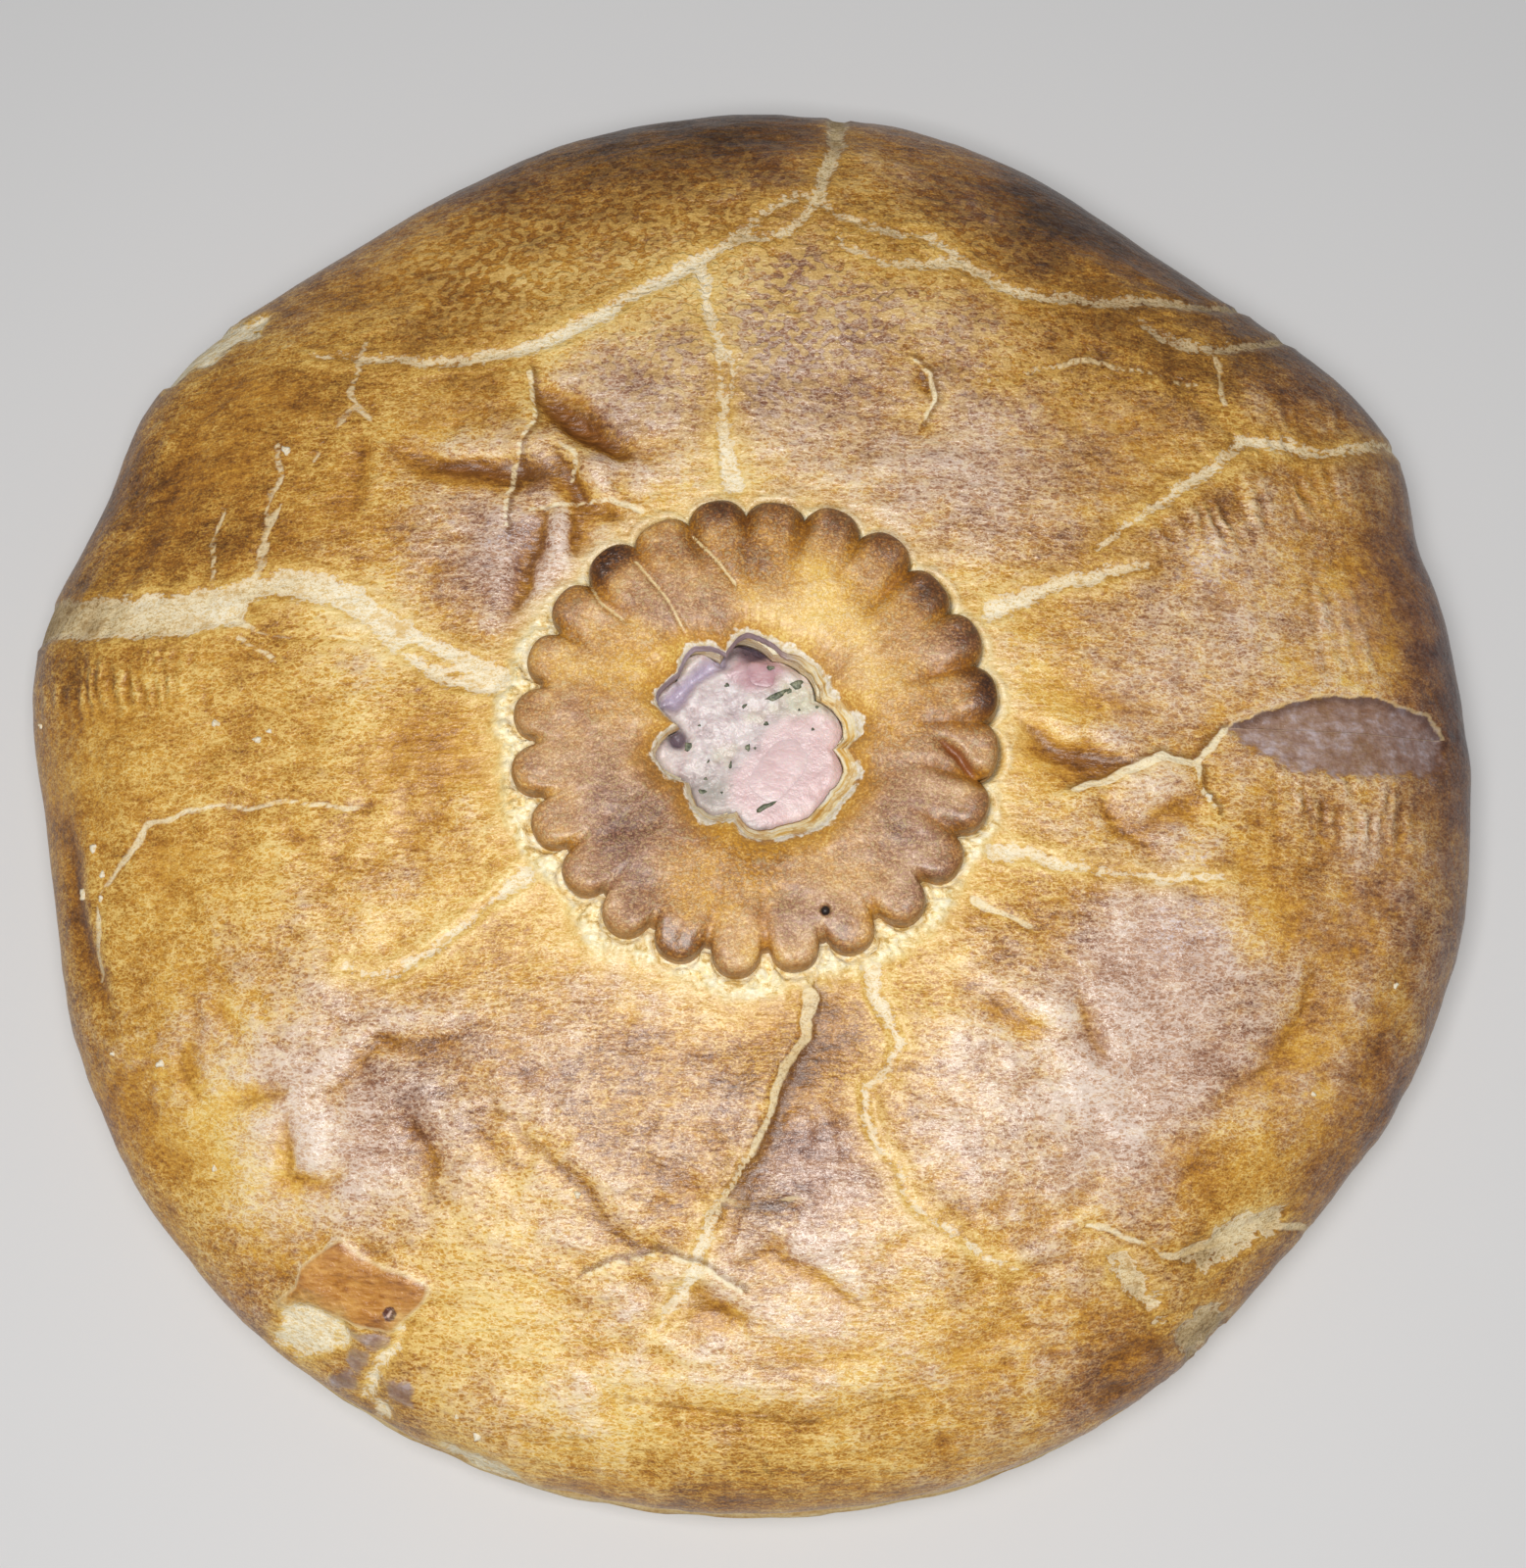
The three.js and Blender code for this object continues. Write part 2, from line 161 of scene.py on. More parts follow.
def nearest(x, y, stops):
    """Distance to a line through the stops, the place along it (0 to 1) and the side (1 is left)."""
    stops = np.asarray(stops, float)
    lengths = np.hypot(*np.diff(stops, axis=0).T)
    starts = np.concatenate([[0], np.cumsum(lengths)])
    best, along, side = np.full(x.shape, 1e9), np.zeros(x.shape), np.zeros(x.shape)
    for (ax, ay), (bx, by), start, length in zip(stops, stops[1:], starts, lengths):
        t = np.clip(((x - ax) * (bx - ax) + (y - ay) * (by - ay)) / length**2, 0, 1)
        away = np.hypot(x - ax - t * (bx - ax), y - ay - t * (by - ay))
        closer = away < best
        best = np.where(closer, away, best)
        along = np.where(closer, (start + t * length) / starts[-1], along)
        side = np.where(closer, np.sign((bx - ax) * (y - ay) - (by - ay) * (x - ax)), side)
    return best, along, side


def route_depth(x, y, route):
    """How far inside a band each point lies: half the band's width there minus the distance to its line.

    A route holds (direction, distance, width) stops, and the width changes evenly between them.
    """
    degrees, distance, width = np.array(route, float).T
    width = np.maximum(width, FINEST)
    stops = np.stack(plan(degrees, distance), 1)
    away, along, side = nearest(x, y, stops)
    lengths = np.concatenate([[0], np.cumsum(np.hypot(*np.diff(stops, axis=0).T))])
    return np.interp(along, lengths / lengths[-1], width) / 2 - away, along, side


def patch_depth(x, y, corners):
    """Distance to the edge of a many-sided patch, positive inside it.

    A point is inside if a ray from it towards +x crosses the edge an odd number of times.
    """
    stops = np.stack(plan(*np.array(corners, float).T), 1)
    stops = np.concatenate([stops, stops[:1]])
    away = nearest(x, y, stops)[0]
    inside = np.zeros(x.shape, bool)
    for (ax, ay), (bx, by) in zip(stops, stops[1:]):
        if ay != by:
            crosses = (ay > y) != (by > y)
            inside ^= crosses & (x < ax + (y - ay) * (bx - ax) / (by - ay))
    return np.where(inside, away, -away)


# %% [markdown]
# ## From a grid to a mesh
#
# Every surface is a grid: rows follow a profile and columns go round. A ring such as the lid closes in
# both directions. A solid lump closes round its columns and ends in two poles, each one vertex. The same
# forms could be modelled by hand, but a grid is one array, and every value on it is worked out at once.


# %% Grid meshes
def add_piece(name, vertices, faces, values):
    """A smooth-shaded object from vertices in millimetres, with one float per vertex for each value."""
    mesh = bpy.data.meshes.new(name)
    mesh.from_pydata((vertices * MM).tolist(), [], faces)
    for key, numbers in values.items():
        layer = mesh.attributes.new(key, "FLOAT", "POINT")
        layer.data.foreach_set("value", np.asarray(numbers, np.float32).ravel())
    mesh.shade_smooth()
    piece = bpy.data.objects.new(name, mesh)
    bpy.context.scene.collection.objects.link(piece)
    print(name, len(mesh.vertices), "vertices", len(mesh.loops) - 2 * len(mesh.polygons), "triangles")
    return piece


def grid_faces(rows, columns, wrap_rows):
    """Quads (i, j), (i+1, j), (i+1, j+1), (i, j+1), closed round the columns and, if asked, the rows."""
    i, j = np.meshgrid(np.arange(rows if wrap_rows else rows - 1), np.arange(columns), indexing="ij")
    below, beside = (i + 1) % rows, (j + 1) % columns
    corners = [i * columns + j, below * columns + j, below * columns + beside, i * columns + beside]
    return np.stack(corners, -1).reshape(-1, 4)


def ring_piece(name, points, values):
    """A ring from an array of rows by columns by three, closed both ways."""
    rows, columns, _ = points.shape
    faces = grid_faces(rows, columns, True).tolist()
    return add_piece(name, points.reshape(-1, 3), faces, values)


def lump_mesh(points):
    """Vertices and faces of a lump whose rows go from a low pole to a high one, each a single vertex."""
    rows, columns, _ = points.shape
    body = points[1:-1].reshape(-1, 3)
    vertices = np.concatenate([body, points[0, :1], points[-1, :1]])
    first, last = len(body), len(body) + 1
    j = np.arange(columns)
    beside = (j + 1) % columns
    end = (rows - 3) * columns
    cap = np.stack([np.full(columns, first), beside, j], 1)
    tail = np.stack([np.full(columns, last), end + j, end + beside], 1)
    sides = grid_faces(rows - 2, columns, False)[:, ::-1]
    return vertices, sides.tolist() + cap.tolist() + tail.tolist()


def lump_values(numbers):
    """Values of a lump's rows and columns in the order of its vertices, poles last."""
    return np.concatenate([numbers[1:-1].ravel(), numbers[0, :1], numbers[-1, :1]])


def even_steps(distance, height, count):
    """The same curve with its points at equal steps along it."""
    along = np.concatenate([[0], np.cumsum(np.hypot(np.diff(distance), np.diff(height)))])
    wanted = np.linspace(0, along[-1], count)
    return np.interp(wanted, along, distance), np.interp(wanted, along, height)


def surface_normals(points):
    """Unit normals of a grid: the slope along the rows crossed with the slope round the columns."""
    down = np.gradient(points, axis=0)
    round_ = np.roll(points, -1, 1) - np.roll(points, 1, 1)
    normal = np.cross(down, round_)
    return normal / np.maximum(np.linalg.norm(normal, axis=-1, keepdims=True), 1e-9)


def blurred(values, reach):
    """The mean over a window of 2 * reach + 1 rows and columns, taken twice."""
    for _ in range(2):
        padded = np.pad(values, ((reach, reach), (0, 0)), mode="edge")
        values = sum(padded[k:k + values.shape[0]] for k in range(2 * reach + 1)) / (2 * reach + 1)
        values = sum(np.roll(values, k, 1) for k in range(-reach, reach + 1)) / (2 * reach + 1)
    return values


# %% [markdown]
# ## Tools for finishes
#
# A finish is a tree of shader nodes. Written by hand such a tree is long, so one small class wraps a
# socket and lets plain arithmetic add the Math nodes, and one method adds every other kind of node.


# %% Shader arithmetic
class Value:
    """A socket that arithmetic works on: each operator adds one Math node to the tree."""

    def __init__(self, tree, socket):
        self.tree, self.socket = tree, socket

    def math(self, operation, *numbers):
        node = self.tree.nodes.new("ShaderNodeMath")
        node.operation = operation
        for slot, number in zip(node.inputs, numbers):
            plug(self.tree, slot, number)
        return Value(self.tree, node.outputs[0])

    def __add__(self, other):
        return self.math("ADD", self, other)

    def __sub__(self, other):
        return self.math("SUBTRACT", self, other)

    def __rsub__(self, other):
        return self.math("SUBTRACT", other, self)

    def __mul__(self, other):
        return self.math("MULTIPLY", self, other)

    def __abs__(self):
        return self.math("ABSOLUTE", self)

    @property
    def swing(self):
        """A grain counted from its middle, so that it swings to both sides of zero."""
        return self - 0.5

    __radd__, __rmul__ = __add__, __mul__


def plug(tree, slot, value):
    """Links a socket to a value, or sets the socket if the value is a number or a colour."""
    if isinstance(value, Value):
        tree.links.new(value.socket, slot)
    else:
        slot.default_value = value


def paint(code):
    """A colour from its six-digit screen code, in the linear light that shaders use."""
    screen = np.array([int(code[i:i + 2], 16) for i in (0, 2, 4)]) / 255
    linear = np.where(screen <= 0.04045, screen / 12.92, ((screen + 0.055) / 1.055) ** 2.4)
    return (*linear.tolist(), 1.0)


class Finish:
    """A material and its node tree."""

    def __init__(self, name):
        self.material = bpy.data.materials.new(name)
        self.material.use_nodes = True
        self.tree = self.material.node_tree
        self.tree.nodes.clear()
        self.place = self.node("TexCoord", output="Object")

    def node(self, kind, settings=None, sockets=None, output=0):
        """Adds a node, makes its settings, fills its sockets and returns one output."""
        node = self.tree.nodes.new("ShaderNode" + kind)
        for key, setting in (settings or {}).items():
            if key == "stops":
                ramp = node.color_ramp
                while len(ramp.elements) < len(setting):
                    ramp.elements.new(1.0)
                for element, (position, code) in zip(ramp.elements, setting):
                    element.position, element.color = position, paint(code)
            else:
                setattr(node, key, setting)
        for key, value in (sockets or {}).items():
            plug(self.tree, node.inputs[key], value)
        return Value(self.tree, node.outputs[output]) if node.outputs else None

    def stretched(self, x, y, z):
        """Object coordinates counted in cells of x by y by z millimetres."""
        cells = (1 / (x * MM), 1 / (y * MM), 1 / (z * MM))
        return self.node("VectorMath", {"operation": "MULTIPLY"}, {0: self.place, 1: cells})

    def grain(self, x, y, z, detail=3.0, roughness=0.55):
        """Noise in cells of that size, mostly from 0.3 to 0.7."""
        sockets = {"Vector": self.stretched(x, y, z), "Scale": 1.0, "Detail": detail, "Roughness": roughness}
        return self.node("TexNoise", {}, sockets)

    def read(self, attribute):
        """A value that the mesh carries at its vertices."""
        return self.node("Attribute", {"attribute_name": attribute}, output="Fac")

    def step(self, low, high, value):
        """0 below low, 1 above high, smooth between."""
        sockets = {"Value": value, "From Min": low, "From Max": high}
        return self.node("MapRange", {"interpolation_type": "SMOOTHSTEP"}, sockets)

    def mix(self, factor, one, other):
        """One colour at 0 and the other at 1."""
        return self.node("Mix", {"data_type": "RGBA"}, {0: factor, 6: one, 7: other}, output=2)

    def larger(self, one, other):
        """The larger of two values."""
        return one.math("MAXIMUM", one, other)

    def ramp(self, value, stops):
        """A colour from stops of position and screen code."""
        return self.node("ValToRGB", {"stops": stops}, {"Fac": value})

    def bump(self, height):
        """A normal from a height in millimetres."""
        return self.node("Bump", {}, {"Strength": 1.0, "Distance": MM, "Height": height})

    def close(self, **sockets):
        """Ends the tree in a Principled shader with these sockets."""
        named = {key.replace("_", " "): value for key, value in sockets.items()}
        shader = self.node("BsdfPrincipled", {}, named)
        self.node("OutputMaterial", {}, {"Surface": shader})
        print(self.material.name, "finish of", len(self.tree.nodes), "nodes")
        return self.material


# %% [markdown]
# ## The lid's bare form
#
# The lid is a shell. Its profile starts at the vent's hole, runs out under the collar, over the dome,
# down the wall, and back along the inside. Rows are closest where the eye looks: beside the collar and
# over the dome. What cannot be seen, the inside, has few rows. A subdivided copy of the solid would
# serve too, but its triangles are not even enough to carry thin cracks.

# %% The lid's profile and outline
LID_COLUMNS = 720
BESIDE_COLLAR = 52.0  # out to here the rows lie closer together
SEAT_ROWS, COLLAR_ROWS, DOME_ROWS, WALL_ROWS, INSIDE_ROWS, HOLE_ROWS = 5, 22, 86, 14, 4, 5


def rim(turn):
    """The outline: a circle plus, for each bump, its amount times a bell curve of the direction."""
    degrees = np.degrees(turn)
    radius = np.full(turn.shape, PIE_RADIUS)
    for direction, spread, amount in OUTLINE_BUMPS:
        away = (degrees - direction + 180) % 360 - 180
        radius += amount * np.exp(-((away / spread) ** 2))
    return radius


def dome_height(distance, top=LID_TOP, reach=PIE_RADIUS):
    """Wall top plus the dome's height times the root of 1 - share^3, which is flat with a round shoulder."""
    share = np.clip(distance / reach, 0, 1)
    return WALL_TOP + (top - WALL_TOP) * np.sqrt(1 - share**3)


def vent_radius(turn):
    """Round lobes with cusps between them: the radius goes evenly from lobe to lobe, less the cusp, which is
    deepest half way."""
    degrees = np.degrees(turn) % 360
    lobes = np.concatenate([VENT_LOBES[-1:] - (360, 0, 0), VENT_LOBES, VENT_LOBES[:1] + (360, 0, 0)])
    before = np.searchsorted(lobes[:, 0], degrees, side="right") - 1
    direction, radius, cusp = np.moveaxis(lobes[before], -1, 0)
    phase = (degrees - direction) / (lobes[before + 1, 0] - direction)
    return radius + (lobes[before + 1, 1] - radius) * phase - cusp * (1 - np.abs(np.cos(np.pi * phase)))


def lid_profile():
    """Rows of the lid as distance and height, and for the outer rows the distance unrolled over the edge."""
    seat = np.linspace(VENT_RADIUS, COLLAR_SEAT, SEAT_ROWS, endpoint=False)
    near = np.linspace(COLLAR_SEAT, BESIDE_COLLAR, COLLAR_ROWS, endpoint=False)
    first = np.arcsin((BESIDE_COLLAR / PIE_RADIUS) ** 1.5)
    turns = np.linspace(first, np.pi / 2, 2000)
    curve = np.sin(turns) ** (2 / 3) * PIE_RADIUS
    dome, dome_z = even_steps(curve, WALL_TOP + (LID_TOP - WALL_TOP) * np.cos(turns), DOME_ROWS)
    wall_z = np.linspace(WALL_TOP, LID_FOOT, WALL_ROWS + 1)[1:]
    wall = PIE_RADIUS - WALL_TAPER * (WALL_TOP - wall_z) / (WALL_TOP - LID_FOOT)
    reach = PIE_RADIUS - CRUST
    inside = np.linspace(reach, VENT_RADIUS, INSIDE_ROWS)
    hole_z = np.linspace(LID_TOP - CRUST, LID_TOP, HOLE_ROWS, endpoint=False)[1:]
    outer = np.concatenate([seat, near, dome, wall])
    distance = np.concatenate([outer, [reach], inside, np.full(hole_z.shape, VENT_RADIUS)])
    top_z = dome_height(np.concatenate([seat, near]))
    inner_z = dome_height(inside, LID_TOP - CRUST, reach)
    height = np.concatenate([top_z, dome_z, wall_z, [LID_FOOT], inner_z, hole_z])
    unrolled = np.concatenate([seat, near, dome, PIE_RADIUS + WALL_TOP - wall_z])
    return distance, height, unrolled


row_distance, row_height, row_unrolled = lid_profile()
OUTER_ROWS = len(row_unrolled)
lid_turn = np.linspace(0, 2 * np.pi, LID_COLUMNS, endpoint=False)
print("lid rows", len(row_distance), "of which outside", OUTER_ROWS)


# %% Place the lid's rows
def lid_points():
    """Each row's distance swells with the outline by the square of its share, and near the vent it takes
    the hole's shape and shift."""
    distance, turn = row_distance[:, None], lid_turn[None, :]
    share = distance / PIE_RADIUS
    inside = (np.arange(len(row_distance)) >= OUTER_ROWS)[:, None]
    bump = (rim(turn) / PIE_RADIUS - 1) * np.where(inside, 0.4, 1.0)
    cut = np.clip((COLLAR_SEAT - distance) / (COLLAR_SEAT - VENT_RADIUS), 0, 1)
    radius = distance * (1 + bump * share**2) + cut * (vent_radius(turn) - VENT_RADIUS - LEDGE)
    x = radius * np.cos(turn) + cut * LEDGE_SHIFT[0]
    y = radius * np.sin(turn) + cut * LEDGE_SHIFT[1]
    return np.stack([x, y, np.broadcast_to(row_height[:, None], x.shape)], -1)


lid_bare = lid_points()
crust_d = np.repeat(row_unrolled[:, None], LID_COLUMNS, 1)
crust_turn = np.repeat(lid_turn[None, :], OUTER_ROWS, 0)
crust_x, crust_y = crust_d * np.cos(crust_turn), crust_d * np.sin(crust_turn)
print("lid grid", lid_bare.shape)

# %% [markdown]
# ## Cracks, folds and tears of the crust
#
# As the pie baked, the filling swelled and the crust parted along seams. Pale dough that never browned
# shows in them. Thin cracks run from the seams, and where the lid sank beside the collar it folded.
# Each is a route of direction, distance from the middle and width, read off the real pie. They could be
# sculpted, but a distance to a route can be softened, frayed and coloured without touching the mesh.

# %% Pale seams
SEAMS = {
    "west": [
        (168, 160, 8), (168, 140, 8), (168, 130, 8), (167.5, 120, 8.5), (166.5, 110, 8.5),
        (164.3, 100, 8), (161, 93, 6), (159.8, 84, 5.5), (161.3, 75, 5.5), (164, 67, 6), (166.5, 58, 8),
        (167, 49, 6),
    ],
    "north": [
        (83, 150, 3.4), (83, 138, 3.6), (82.7, 126, 3.4), (83.4, 118, 3.1), (83.6, 113, 2.9),
        (84.8, 107, 2), (86.3, 103.5, 1.9), (89, 102, 1.9), (92, 101.7, 2.5), (95, 99.3, 2.9),
        (98.1, 96, 3.2), (101.8, 94, 3.4), (105.7, 92, 3.4), (108.4, 90.5, 3.4), (113, 90, 3.4),
        (117, 90, 3.4), (120, 91, 3), (126.5, 95.5, 2.5), (130, 100, 2.1), (133, 106, 1.7),
        (135.5, 112, 1.4), (137.5, 116, 0.8),
    ],
    "north_far_strand": [
        (83.7, 112.6, 2), (85.8, 111.6, 1.8), (88.4, 108.7, 1.6), (90.3, 105.1, 1.6), (92, 102, 2),
    ],
    "north_spoke": [
        (97, 96.5, 3), (96.2, 92.6, 2), (96.3, 86.7, 2), (95.9, 83.2, 1.8), (95.2, 79.4, 1.8),
        (95, 76.7, 1.4), (95.6, 71, 1), (95.5, 69, 1), (95.4, 65.8, 2.2), (96, 60.4, 2.6), (95, 49, 4),
    ],
    "spoke_strand": [
        (95, 77.5, 1.2), (93.6, 76, 1), (93.5, 71, 0.9), (93.8, 68.5, 0.9), (95.2, 65.8, 1.6),
    ],
    "north_thin": [
        (83.6, 110, 2), (82.1, 108.1, 1.6), (80.5, 107.5, 1.8), (78.8, 106.7, 1.8), (75, 106, 1.6),
        (72, 107, 1.6), (68, 106, 1.2),
    ],
    "north_east": [
        (81.5, 104, 0.8), (80, 100.6, 1), (78.1, 99.9, 1.2), (75.5, 98.5, 1.4), (71.5, 100.5, 2.8),
        (68.5, 103.5, 3), (65, 104, 2.6), (62, 103.5, 2), (58, 107, 2.4), (53, 114, 2.6),
        (49.5, 121, 2.6), (46, 128, 2.4), (44.5, 136, 2.4), (44, 150, 2.4),
    ],
    "east_upper": [
        (49.5, 115, 1.4), (46, 115.5, 2), (43.5, 118, 2.2), (42, 121.5, 2.4), (40.5, 128, 2.6),
        (40, 140, 2.6), (40, 150, 2),
    ],
    "east": [
        (27.5, 152, 2.2), (27.5, 139.5, 2.2), (28.7, 122, 2), (30.8, 116.5, 2.4), (33, 110, 2.6),
        (32.3, 102.5, 2), (31.7, 95, 1.8), (31.5, 86.5, 1.6), (30.8, 78.5, 1.4), (30, 73, 1),
    ],
    "east_inner": [(29, 50, 4.3), (28.5, 58, 3.3), (27.5, 65, 2.9), (26, 72, 2.2), (25, 80, 1.2)],
    "south_east": [
        (334, 49, 3.8), (336.5, 54.5, 2.5), (336.5, 60, 2), (338, 64, 1.7), (338.8, 69.5, 1.4),
        (340, 75, 1.5), (341.8, 82.5, 1.4), (343.5, 90, 0.6),
    ],
    "south_low": [
        (268.5, 77, 0.8), (266, 84.5, 1.8), (265, 87.5, 2.2), (263.8, 94, 2.4), (263.3, 100, 2.2),
        (261.5, 104.5, 1.6), (260.5, 109, 0.8),
    ],
    "south_b": [
        (296, 48, 3.6), (293.8, 52, 2.6), (295, 57, 2.2), (294.3, 62.5, 2), (291.7, 65.5, 1.8),
        (286.8, 68.5, 1.6), (285.8, 72, 1.5), (286.5, 77.5, 1.4), (288, 82, 1.2), (288, 87, 1.1),
        (288.6, 90.5, 1.1), (291, 95, 1), (293.3, 101, 0.9), (295.5, 106.5, 0.8),
    ],
    "south_west": [
        (212, 49, 3.3), (212.5, 58.5, 1.3), (213.5, 65.5, 1.3), (213.7, 73, 1.8), (213.8, 78.5, 1.7),
        (209.5, 86, 0.5),
    ],
}

# %% Thin cracks, and edges of flakes
CRACKS = {
    "west_thin": [
        (190.2, 69, 0.7), (189.5, 78, 0.9), (187.2, 88, 0.9), (187.3, 95.5, 0.9), (186.5, 102, 1),
        (186.8, 110.5, 0.9), (187.1, 114.5, 0.9), (188.3, 116.5, 0.9), (189.8, 121, 0.9),
        (192.5, 127, 0.8), (199, 130, 0.6),
    ],
    "west_branch": [(166, 101, 1.4), (167, 92, 1.2), (166.5, 84, 1.2), (165.2, 76, 1)],
    "west_low": [(168, 98, 1), (170, 90, 0.8)],
    "west_up_a": [(165, 106, 1), (162, 107, 0.8), (158.5, 110, 0.7), (155, 111, 0.5)],
    "west_up_b": [(163, 98, 1), (158, 99, 0.9), (153.5, 103, 0.8), (150, 103, 0.6), (147, 107, 0.5)],
    "north_west": [
        (138.5, 101, 0.8), (142.5, 101, 0.9), (146, 99.5, 0.9), (148.8, 96.5, 0.9), (152.5, 100.5, 1),
        (157, 101, 1), (161, 99, 1),
    ],
    "north_west_top": [(133, 112, 0.8), (138, 104, 0.8), (139, 97, 0.6)],
    "north_spot": [(87, 88.4, 0.5), (85.6, 86.2, 0.6), (83.6, 83.4, 0.5)],
    "north_east_low": [(58, 84, 0.6), (54, 92, 0.9), (50, 101, 1), (45, 106, 1), (40, 112, 0.8)],
    "fold_top": [(123, 68.5, 0.6), (121.5, 65, 0.7), (122.5, 63.5, 0.7), (124.5, 61, 0.6)],
    "fold_low": [(133.5, 61.5, 0.6), (127.5, 57.5, 0.7), (121, 54, 0.7), (115.5, 49, 0.5)],
    "east_stub": [(41.5, 119.5, 1.2), (40.3, 117, 1), (37, 112, 0.8)],
    "south_east_thin": [(322, 50, 2), (324, 57, 1), (325, 61.5, 0.6)],
    "south_right": [(266, 84.5, 0.8), (271, 86, 0.8), (275, 84, 0.6)],
    "south_east_rim": [
        (304, 107, 0.8), (307, 115, 1.2), (308.5, 121, 1.4), (312.5, 125, 1.6), (315.8, 129, 1.4),
        (318, 133.5, 1.4), (320, 140, 1.2),
    ],
}
# Flakes whose edge stands up on the left of the route
FLAKE_EDGES = {
    "fold_edge": [
        (138.5, 62, 0.6), (135, 66.5, 0.8), (130.8, 70, 0.8), (127.5, 73, 0.8), (124, 75.5, 0.9),
        (122.3, 80, 0.9), (120.3, 86, 0.8),
    ],
    "east_low": [
        (1.5, 87, 0.9), (357.5, 81.5, 1.2), (357.5, 75, 1.6), (355.8, 70.7, 1.6), (353.5, 65.5, 1.6),
        (351, 59, 1.4),
    ],
    "east_flake": [(351.5, 86, 0.8), (353.5, 83.5, 1), (355.5, 82.5, 1), (357, 81.5, 1.2)],
    "south_a": [
        (266, 84.5, 0.9), (268.3, 78.5, 0.9), (270.7, 72.5, 1), (272.5, 69, 1.2), (273.5, 65, 1.4),
        (275, 61, 1.4), (279, 56, 1.6), (282, 49, 2.6),
    ],
    "crease_edge": [
        (268.5, 100, 0.6), (264.5, 97, 0.8), (262, 95.5, 0.9), (259.5, 95, 0.9), (256, 98, 0.9),
        (253, 101.5, 0.6),
    ],
    "north_notch": [(63.3, 71, 0.5), (63, 75.5, 0.9), (65, 79.5, 0.8), (68, 81, 0.5)],
}
print(len(SEAMS), "seams", len(CRACKS), "cracks", len(FLAKE_EDGES), "flake edges")

# %% Folds where the lid sank
# Depth, the side that stands higher (1 left of the route, -1 right), width of the amber line, and the route
FOLDS = {
    "upper_left_a": (2.2, -1, 5.0, [(121.5, 82, 5), (120.3, 75, 7), (118, 67, 6.5), (113, 59, 4)]),
    "upper_left_b": (1.7, 1, 3.4, [(139.5, 87, 3), (137.5, 79, 6), (132, 71, 6.5), (127, 65, 4)]),
    "upper_left_c": (1.6, 1, 3.0, [(124, 68, 3), (124.5, 62, 5.5), (125, 55, 4.5), (121, 50, 3)]),
    "upper_left_d": (1.0, -1, 1.8, [(128, 56, 3), (131, 51.5, 4), (134, 48.5, 3)]),
    "upper_left_e": (1.3, 1, 2.2, [(131, 60, 3), (137, 55.5, 4.5), (145, 52, 4), (152, 51, 3)]),
    "upper_left_f": (0.7, 1, 1.0, [(141, 96, 2), (144, 91, 4), (148, 88, 3)]),
    "long_crease": (0.4, 1, 2.0, [(231.5, 79, 3), (236, 82, 4), (240.5, 84, 4), (249.5, 87, 4),
                                  (252.5, 92, 4), (257, 95, 4), (261, 94.5, 3)]),
    "left_crease": (0.7, 1, 1.4, [(218.5, 104, 3), (220.3, 98, 4.5), (219.5, 92.5, 4), (219, 87, 4),
                                  (222.5, 83, 5), (227, 73, 4)]),
    "left_short": (0.7, -1, 1.4, [(214.5, 117, 4), (216, 110.5, 5), (217.5, 104, 3)]),
    "left_hook": (0.9, 1, 1.2, [(218, 107, 3), (221, 111.5, 5), (223, 114.5, 5), (226, 112, 5),
                                (227, 107, 3)]),
    "left_pit": (0.5, -1, 1.2, [(207, 118, 3), (210, 120.5, 5), (213, 120, 3)]),
    "left_dent": (0.6, 1, 1.6, [(228, 92, 4), (233, 96, 6), (236, 102, 4)]),
    "east_a": (1.7, 1, 3.0, [(4, 48.5, 4), (358.5, 54, 5.5), (356.3, 61, 6), (356.5, 70, 4)]),
    "east_b": (0.8, 1, 1.2, [(348, 73, 4), (351, 79, 6), (353, 84, 4)]),
    "east_c": (0.7, -1, 1.0, [(351, 63, 3), (346, 68, 5), (344, 76, 4)]),
    "south_a": (0.8, 1, 1.2, [(311, 62, 4), (312, 70, 5.5), (315.5, 80, 4)]),
    "south_b": (0.7, -1, 0.8, [(322, 74, 4), (318, 82, 6), (317, 90, 4)]),
    "south_step": (0.5, -1, 2.0, [(281, 56, 5), (275.5, 65, 6), (272, 75, 5), (268, 84, 3)]),
    "south_pit": (0.9, 1, 2.0, [(261, 101, 4), (265, 103.5, 6), (270, 106, 4)]),
    "south_ridge": (0.7, 1, 1.4, [(267, 95, 3), (272, 94, 5), (277, 99, 4), (281, 106, 3)]),
    "north_nick": (0.9, 1, 1.4, [(67.5, 80, 2), (65, 77.5, 3), (63.6, 74.5, 2)]),
    "left_rim": (1.0, 1, 1.2, [(186, 131, 3), (192, 132, 4), (197, 131, 4), (203, 129, 3)]),
    "near_edge": (0.35, 1, 1.2, [(255, 122, 4), (264, 121, 6), (274, 123, 6), (284, 121, 4)]),
    "near_edge_b": (0.35, -1, 1.0, [(268, 114, 3), (275, 113, 5), (283, 113, 3)]),
    "near_right": (0.6, 1, 1.0, [(322, 108, 4), (327, 112, 7), (333, 113, 5), (340, 111, 3)]),
}
print(len(FOLDS), "folds")

# %% [markdown]
# In some places the top layer came away in sheets. At the right a long lens of it has gone and shows a
# darker layer, at the near left a flake has lifted beside a torn hole, and the far left and near right
# edges are torn down to pale dough. These are patches: their corners by direction and distance.

